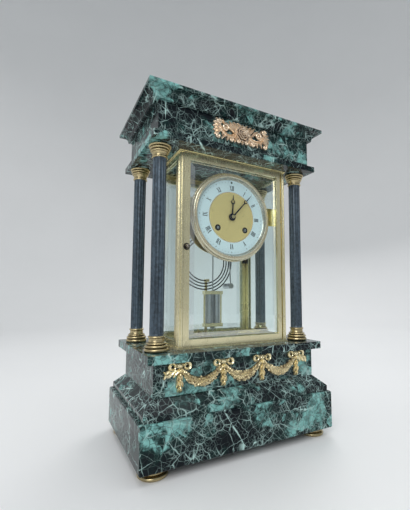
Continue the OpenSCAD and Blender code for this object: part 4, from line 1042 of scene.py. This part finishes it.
class Relief:
    """Gathers strips and buttons, in millimetres about the mount's middle, into one mesh on a front face."""

    def __init__(self, place=(0, 0, 0)):
        self.place = place
        self.points, self.faces, self.heights = [], [], []

    def add(self, rings, heights):
        """Closed skin through rings of points, each ring a loop; low heights darken the hollows with tarnishing and
        painted shade.
        """
        self.faces += capped(len(self.points), len(rings), len(rings[0]))
        for ring, level in zip(rings, heights):
            self.points += ring
            self.heights += level

    def stand(self, rings, heights):
        """Closed skin through rings, with its foot on the face behind it."""
        foot = [(x, 0.0, z) for x, _, z in rings[0]]
        self.add([foot, *rings], [[0.0] * len(foot), *heights])

    def strip(self, path, widths, crowns, shape, shine=1.0):
        """Strip along a path with its half widths and crown heights spread along it."""
        path = np.array(path, float)
        along = np.linspace(0, 1, len(path))
        tangent = np.gradient(path, axis=0)
        tangent /= np.linalg.norm(tangent, axis=1)[:, None]
        width = np.interp(along, np.linspace(0, 1, len(widths)), widths)
        crown = np.interp(along, np.linspace(0, 1, len(crowns)), crowns)
        across = [(-1, 0.0), *SECTIONS[shape], (1, 0.0)]
        rings = [
            [(x - tz * s * w, -h * c, z + tx * s * w) for s, h in across]
            for (x, z), (tx, tz), w, c in zip(path, tangent, width, crown)]
        # shine scales the heights, so a low one darkens the strip with tarnishing and painted shade
        self.add(rings, [[h * shine for _, h in across]] * len(rings))

    def button(self, x, z, radius, height, lift=0.0, lobes=0, around=24):
        """Low dome, plain or lobed like a small flower."""
        angles = turns(around)
        rings, heights = [], []
        for a in np.linspace(0, DOME_TURN, DOME_RINGS):
            reach = [radius * math.cos(a) * (1 + LOBE_DEPTH * (lobes > 0) * math.cos(lobes * t)) for t in angles]
            rings.append([
                (x + r * math.cos(t), -(lift + height * math.sin(a)), z + r * math.sin(t))
                for r, t in zip(reach, angles)])
            # Heights fall towards the foot and between the lobes: tarnishing and painted shade there
            heights.append([math.sin(a) * (0.75 + 0.25 * math.cos(lobes * t)) for t in angles])
        self.stand(rings, heights)

    def rose(self, radius, height, lift, rows=4):
        """Full rose in the middle: rows of lobed petals that close towards its heart."""
        angles = turns(60)
        rings, heights = [], []
        for k in range(rows):
            outer, inner = radius * (1 - k / rows), radius * (1 - (k + 0.8) / rows)
            low = lift + height * math.sqrt(k / rows)
            lobe = 1 + 0.07 * np.cos((9 - 2 * k) * angles + 1.3 * k)
            for share, rise, level in ROSE_PETAL:
                reach = (outer + share * (inner - outer)) * lobe
                rings.append([(r * math.cos(t), -(low + rise), r * math.sin(t)) for r, t in zip(reach, angles)])
                heights.append([level] * len(angles))
        self.stand(rings, heights)

    def lobes(self, stem, count, reach, half_width, crown):
        """Small leaves that lean forward along both edges of a stem."""
        tangent = np.gradient(stem, axis=0)
        for i in np.linspace(2, len(stem) - 6, count).astype(int):
            ahead = tangent[i] / np.linalg.norm(tangent[i])
            for side in (1, -1):
                out = side * np.array([-ahead[1], ahead[0]])
                tip = stem[i] + reach * (out + 0.55 * ahead)
                path = curve([stem[i], stem[i] + reach * (0.5 * out + 0.1 * ahead), tip], 8)
                self.strip(path, times(half_width, 0.7, 1, 0.9, 0.25), times(crown, 1, 0.95, 0.8, 0.4), "leaf")

    def curl(self, x, z, radius, half_width, crown, start, turn, ball):
        """Ring-shaped scroll that closes on a ball."""
        path = arc(x, z, np.linspace(radius, 0.72 * radius, 30), start, start + turn, 30)
        self.strip(path, times(half_width, 0.7, 1, 1, 0.8), times(crown, 1, 1, 0.85), "dome")
        self.button(x, z, ball, 0.9 * crown)

    def mesh(self, name):
        made = closed_mesh(name, [Vector(p) * MM for p in self.points], self.faces, RELIEF_ANGLE)
        store(made, "relief", self.heights)
        made.transform(Matrix.Translation(self.place))
        return made


# Frieze mount: its right half from the rose's middle, which the left half mirrors

ROSE = {"radius": 10.6, "height": 2.8, "lift": 2.0}
ROSE_LEAVES = {"count": 12, "inner": 7.0, "outer": 13.6, "half_width": 2.5, "crown": 2.8}
SHELL_ROOT = 32.5
SHELL_LEAVES = (  # tip and half width
    ((39.4, 13.6), 2.3), ((42.6, 8.6), 2.5), ((43.4, 3.0), 2.6), ((43.2, -2.6), 2.5), ((41.8, -7.8), 2.3))
STEM = ((33.0, 4.4), (30.6, -2.6), (25.0, -6.6), (17.6, -7.2), (11.4, -4.2), (8.2, 0.6))
STEM_LEAVES = {"count": 9, "reach": 3.8, "half_width": 1.25, "crown": 3.4}
ACANTHUS = (  # path and half widths
    ([(10, 1.5), (13.4, 6.6), (16.6, 9.6), (20.6, 13.6)], [1.6, 2.4, 2.2, 0.4]),
    ([(7.5, 5.5), (10.0, 9.6), (13.0, 11.6), (14.8, 14.0)], [1.6, 2.2, 1.7, 0.4]),
    ([(13, -0.5), (17.2, 3.2), (20.2, 6.8), (25.6, 10.8)], [1.4, 2.4, 2.2, 0.4]),
    ([(3, 8), (5.0, 11.2), (8.6, 13.4)], [1.4, 2.0, 0.4]),
    ([(27, 7), (29.4, 10.2), (31.0, 13.6)], [1.2, 1.9, 0.3]),
    ([(24, -6.5), (28.2, -9.0), (31.4, -12.4)], [1.4, 2.0, 0.4]),
    ([(20, -7.5), (22.6, -10.6), (23.4, -13.4)], [1.4, 1.9, 0.4]),
    ([(9, -6.5), (11.4, -10.4), (12.0, -13.6)], [1.3, 1.9, 0.4]))
CURLS = (  # x, z, radius, half width, crown, start on the right and on the left, turn, ball
    (34.6, 10.2, 2.9, 1.5, 3.4, 0, 0, 360, 1.5), (36.4, -9.8, 2.7, 1.5, 3.3, 90, 90, -330, 1.4),
    (25.4, 3.6, 4.0, 1.5, 3.4, 200, -20, -420, 1.7), (16.6, -11.0, 2.2, 1.3, 3.2, 90, 90, 330, 1.2),
    (6.4, -10.6, 2.3, 1.3, 3.2, 90, 90, 330, 1.2))


def leaf_ring(name, place, count, inner, outer, half_width, crown):
    """Ring of leaves round the rose, repeated from one leaf."""
    leaf = Relief()
    leaf.strip([(0, r) for r in np.linspace(inner, outer, 9)],
               times(half_width, 0.6, 0.9, 1, 0.9, 0.35), times(crown, 0.7, 1, 1, 0.6), "leaf")
    return patterned(leaf.mesh(name), ring_pattern(), place, count=count, material=material("rose_gilt"))


def frieze_relief(place):
    """Rose between two acanthus scrolls that end in shells."""
    r = Relief(place)
    r.rose(**ROSE)
    for side in (1, -1):
        def path(points, steps=20):
            return curve([(x * side, z) for x, z in points], steps)

        for tip, width in SHELL_LEAVES:
            bend = (0.45 * tip[0] + 0.55 * SHELL_ROOT, 0.62 * tip[1])
            r.strip(path([(SHELL_ROOT, 0.4 + 0.1 * tip[1]), bend, tip], 14),
                    [1.0, *times(width, 0.9, 1, 1, 0.5)], [2.6, 3.2, 3.4, 2.8, 1.2], "leaf")
        stem = path(STEM, 36)
        r.strip(stem, [0.9, 1.6, 2.0, 2.1, 1.8, 1.2], [2.8, 3.6, 4.2, 4.2, 3.8, 2.8], "scroll")
        r.lobes(stem, **STEM_LEAVES)
        for points, widths in ACANTHUS:
            r.strip(path(points), widths, [3.0, 3.4, 2.8, 1.2], "leaf")
        for x, z, radius, half_width, crown, right, left, turn, ball in CURLS:
            r.curl(side * x, z, radius, half_width, crown, right if side > 0 else left, turn * side, ball)
    return r


# Plinth mount: each bow from its knot, right half, which the left half mirrors

BOW_PITCH, BOW_RISE = 56.0, 29.0
BOW_STRIPS = (  # path, half widths and crowns of loop, fold and tail
    (arc(9.0, 2.6, 3.3, 180, -165, 34), [1.2, 1.6, 1.8, 1.6, 1.1], [2.6, 3.4, 3.0, 3.4, 2.4]),
    (curve([(0, 1.6), (3.4, 3.6), (6.8, 3.2)], 10), [1.8, 1.9, 0.9], [2.6, 2.8, 2.2]),
    (curve([(0.6, -0.5), (3.4, -3.0), (5.8, -5.4), (7.4, -9.0)], 14), [1.6, 2.0, 1.6, 0.5], [3.4, 3.0, 3.4, 1.6]))
KNOT_Z = 3.7
HUSKS = ((-0.5, 0.7), (-5.6, 1.0), (-12.2, 1.15), (-19.4, 0.8))  # z of the top and size
RIBBON_ENDS = (  # path and half widths, outside the last bow
    ([(5, -0.5), (9.5, -3.8), (12.6, -7.0), (16.4, -6.4), (18.2, -10.0)], [1.4, 2.0, 1.9, 1.8, 0.6]),
    ([(9.5, -3.8), (13.4, -2.2), (16.2, -4.0), (18.6, -1.8)], [0.9, 1.7, 1.6, 0.5]))
GARLAND_HALF, GARLAND_TOP, GARLAND_SAG = 25.5, -2.0, 15.2
GARLAND_WIDTH, GARLAND_CROWN = (1.5, 4.0), (1.8, 1.4)  # at the ends, and what the belly adds
# A low GARLAND_SHINE darkens the garland's body between its blossoms with tarnishing and painted shade
GARLAND_SHINE, GARLAND_SEED = 0.15, 7
BLOSSOM_SPACING = 1.45  # in blossom radii


def swag_relief(place):
    """Four ribbon bows with hanging husks, and the fluttering ribbon ends outside them."""
    r = Relief(place)
    for k in (-1.5, -0.5, 0.5, 1.5):
        x = k * BOW_PITCH
        for side in (1, -1):
            for path, widths, crowns in BOW_STRIPS:
                r.strip([(x + side * p, q) for p, q in path], widths, crowns, "ribbon")
        r.button(x, KNOT_Z, 4.5, 4.8, lobes=7, around=42)
        r.button(x, KNOT_Z, 1.9, 1.2, lift=4.4)
        for z, size in HUSKS:
            for side in (1, -1):
                out = size * side
                petal = curve([(x, z), (x + 2.2 * out, z - 2.6 * size), (x + 3.3 * out, z - 7.4 * size)], 12)
                r.strip(petal, [*times(size, 0.8, 1.4, 1.3), 0.3], [3.0, 3.4, 3.0, 1.6], "leaf")
            r.strip([(x, a) for a in np.linspace(z, z - 8.6 * size, 14)],
                    [*times(size, 0.9, 1.6, 1.9, 1.5), 0.3], [3.2, 4.4, 4.4, 3.6, 2.0], "leaf")
    for side in (1, -1):
        for points, widths in RIBBON_ENDS:
            path = curve([((1.5 * BOW_PITCH + x) * side, z) for x, z in points], 26)
            r.strip(path, widths, [2.6, 3.2, 2.0, 3.2, 1.4], "ribbon")
    return r


def blossom_object(radius):
    """One small five-petalled flower that faces up, to be strewn over a garland."""
    skin = Relief()
    r = radius / MM
    waves = [(t, math.cos(BLOSSOM_PETALS * t)) for t in turns(2 * BLOSSOM_PETALS)]
    rings, heights = [], []
    for share, rise, level, depth in BLOSSOM_RINGS:
        reach = [r * share * (1 + depth * wave) for _, wave in waves]
        rings.append([(a * math.cos(t), a * math.sin(t), r * rise) for a, (t, _) in zip(reach, waves)])
        # Heights dip between the petals: tarnishing and painted shade there
        heights.append([level * (0.7 + 0.3 * wave) for _, wave in waves])
    skin.add(rings, heights)
    return new_object("blossom", skin.mesh("blossom"))


def garland_mesh(place, blossom, radius, seed):
    """One sagging garland under its blossoms."""
    x = np.linspace(-GARLAND_HALF, GARLAND_HALF, 40)
    belly = 1 - (x / GARLAND_HALF) ** 2
    garland = Relief(place)
    garland.strip(np.stack([x, GARLAND_TOP - GARLAND_SAG * belly], 1), GARLAND_WIDTH[0] + GARLAND_WIDTH[1] * belly,
                  GARLAND_CROWN[0] + GARLAND_CROWN[1] * belly, "dome", GARLAND_SHINE)
    return patterned(garland.mesh("garland"), scatter_pattern(), blossom=blossom,
                     spacing=BLOSSOM_SPACING * radius, seed=seed, material=material("yellow_gilt"))


class CLOCK_OT_mounts(bpy.types.Operator):
    """Gilt mounts on the frieze and the upper plinth"""
    bl_idname = "clock.mounts"
    bl_label = "Gilt Mounts"

    def execute(self, context):
        lo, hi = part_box("frieze_mount")
        place = Vector((0.0, hi.y, (lo.z + hi.z) / 2))
        parts = [frieze_relief(place).mesh("frieze_scrolls"), leaf_ring("rose_leaves", place, **ROSE_LEAVES)]
        fixed_piece(joined("frieze_ornament", parts, RELIEF_ANGLE), "rose_gilt", nodes=["frieze_mount"])

        radius = context.scene.clock_sizes.blossom
        place = Vector((0.0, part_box("swag_mount")[1].y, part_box("upper_plinth")[0].z + BOW_RISE * MM))
        blossom = blossom_object(radius)
        parts = [swag_relief(place).mesh("swag_bows")]
        parts += [
            garland_mesh(place + Vector((k * BOW_PITCH * MM, 0, 0)), blossom, radius, GARLAND_SEED + k)
            for k in (-1, 0, 1)]
        bpy.data.objects.remove(blossom)
        fixed_piece(joined("swag_ornament", parts, RELIEF_ANGLE), "yellow_gilt", nodes=["swag_mount"])
        return {"FINISHED"}


# Stage; the camera's numbers are in the photograph's pixels

PHOTO_W, PHOTO_H = 410, 510
SENSOR = 36.0
CAMERA_PLACE = Vector((-223.75, -415.05, 190.46)) * MM
CAMERA_YAW, CAMERA_PITCH, CAMERA_ROLL = (math.radians(a) for a in (-28.47, 5.12, 0.16))
FOCAL_PIXELS = 327.26
PRINCIPAL_POINT = (219.39, 263.99)
LAMPS = (  # name, place, size and power
    ("key", (-1.25, -1.35, 1.35), (1.1, 1.3), 20.0),
    ("back", (1.3, 1.2, 1.5), (1.2, 1.2), 11.0),
    ("top", (0.0, -0.1, 1.9), (1.5, 1.5), 11.0))
LAMP_AIM = Vector((0.0, 0.0, 0.22))
WORLD_TINT, WORLD_LOW, WORLD_HIGH = (0.90, 0.96, 1.0), 0.36, 0.58
FLOOR_REACH, FLOOR_BEND, WALL_HEIGHT, FLOOR_AROUND = 2.6, 1.1, 4.4, 72
WALL_STARTS, WALL_SPREAD = 0.1, 0.2  # how far behind the clock the wall begins to rise, and over what width


def add_camera():
    """Camera at the photograph's angle; the frame's long side spans the sensor."""
    data = bpy.data.cameras.new("photo_camera")
    data.sensor_fit = "AUTO"
    data.sensor_width = SENSOR
    data.lens = FOCAL_PIXELS / PHOTO_H * SENSOR
    data.shift_x = (PHOTO_W / 2 - PRINCIPAL_POINT[0]) / PHOTO_H
    data.shift_y = (PRINCIPAL_POINT[1] - PHOTO_H / 2) / PHOTO_H
    data.clip_start = 0.01
    camera = bpy.data.objects.new("photo_camera", data)
    bpy.context.scene.collection.objects.link(camera)
    level = Matrix.Rotation(math.radians(90) + CAMERA_PITCH, 4, "X") @ Matrix.Rotation(CAMERA_ROLL, 4, "Z")
    camera.matrix_world = Matrix.Translation(CAMERA_PLACE) @ Matrix.Rotation(CAMERA_YAW, 4, "Z") @ level
    bpy.context.scene.camera = camera


def add_backdrop():
    """Wide round floor whose far half curves up into a wall behind the clock."""
    flat, n = FLOOR_REACH - FLOOR_BEND, FLOOR_AROUND
    profile = [(flat, 0.0)]
    profile += [
        (flat + FLOOR_BEND * math.sin(a), FLOOR_BEND * (1 - math.cos(a))) for a in np.linspace(0.1, math.pi / 2, 12)]
    profile.append((FLOOR_REACH, WALL_HEIGHT))
    points = [(0.0, 0.0, 0.0)]
    for r, z in profile:
        for t in turns(n):
            behind = min(1.0, max(0.0, (math.sin(t) - WALL_STARTS) / WALL_SPREAD))
            points.append((r * math.cos(t), r * math.sin(t), z * behind))
    faces = [(0, 1 + i, 1 + (i + 1) % n) for i in range(n)]
    for k in range(len(profile) - 1):
        faces += bridged(1 + (k + 1) * n, 1 + k * n, n)
    floor = new_object("floor", mesh_from("floor", points, faces))
    floor.data.materials.append(material("pale_floor"))


def add_lamp(name, place, size, power):
    """Soft rectangular lamp that faces the clock."""
    lamp = bpy.data.lights.new(name, "AREA")
    lamp.shape = "RECTANGLE"
    lamp.size, lamp.size_y = size
    lamp.energy = power
    made = bpy.data.objects.new(name, lamp)
    made.location = place
    made.rotation_euler = (LAMP_AIM - Vector(place)).to_track_quat("-Z", "Y").to_euler()
    bpy.context.scene.collection.objects.link(made)


def add_light():
    """Soft studio light: a key from the front left, a back light, a top light and a world that brightens upwards."""
    for lamp in LAMPS:
        add_lamp(*lamp)
    world = bpy.data.worlds.new("studio")
    world.use_nodes = True
    g = Graph(world.node_tree)
    way = g.node("ShaderNodeTexCoord", output="Generated")
    up = g.node("ShaderNodeSeparateXYZ", inputs={0: way}, output="Z")
    tint = g.scaled(WORLD_TINT, up.fade(0.0, 0.9, WORLD_LOW, WORLD_HIGH))
    world.node_tree.links.new(tint.socket, world.node_tree.nodes["Background"].inputs["Color"])
    bpy.context.scene.world = world


class CLOCK_OT_stage(bpy.types.Operator):
    """Camera, soft light, pale floor and backdrop"""
    bl_idname = "clock.stage"
    bl_label = "Stage"

    def execute(self, context):
        context.scene.view_settings.view_transform = "Standard"
        add_camera()
        add_backdrop()
        add_light()
        return {"FINISHED"}


# Panel and registration

OPERATORS = (
    CLOCK_OT_marble, CLOCK_OT_columns, CLOCK_OT_case, CLOCK_OT_movement, CLOCK_OT_dial, CLOCK_OT_mounts,
    CLOCK_OT_stage)


class CLOCK_PT_panel(bpy.types.Panel):
    """Lists the clock's operators and settings"""
    bl_label = "Portico Clock"
    bl_idname = "CLOCK_PT_panel"
    bl_space_type = "VIEW_3D"
    bl_region_type = "UI"
    bl_category = "Clock"

    def draw(self, context):
        layout = self.layout
        for operator in OPERATORS:
            layout.operator(operator.bl_idname)
        for group in (context.scene.clock_sizes, context.scene.clock_colours):
            box = layout.box()
            for name in group.__annotations__:
                box.prop(group, name)


CLASSES = (ClockSizes, ClockColours, *OPERATORS, CLOCK_PT_panel)


def register():
    for cls in CLASSES:
        bpy.utils.register_class(cls)
    bpy.types.Scene.clock_sizes = bpy.props.PointerProperty(type=ClockSizes)
    bpy.types.Scene.clock_colours = bpy.props.PointerProperty(type=ClockColours)


def unregister():
    del bpy.types.Scene.clock_colours
    del bpy.types.Scene.clock_sizes
    for cls in reversed(CLASSES):
        bpy.utils.unregister_class(cls)


def main():
    register()
    bpy.ops.clock.stage()
    bpy.ops.clock.marble()
    bpy.ops.clock.columns()
    bpy.ops.clock.case()
    bpy.ops.clock.movement()
    bpy.ops.clock.dial()
    bpy.ops.clock.mounts()


if __name__ == "__main__":
    main()
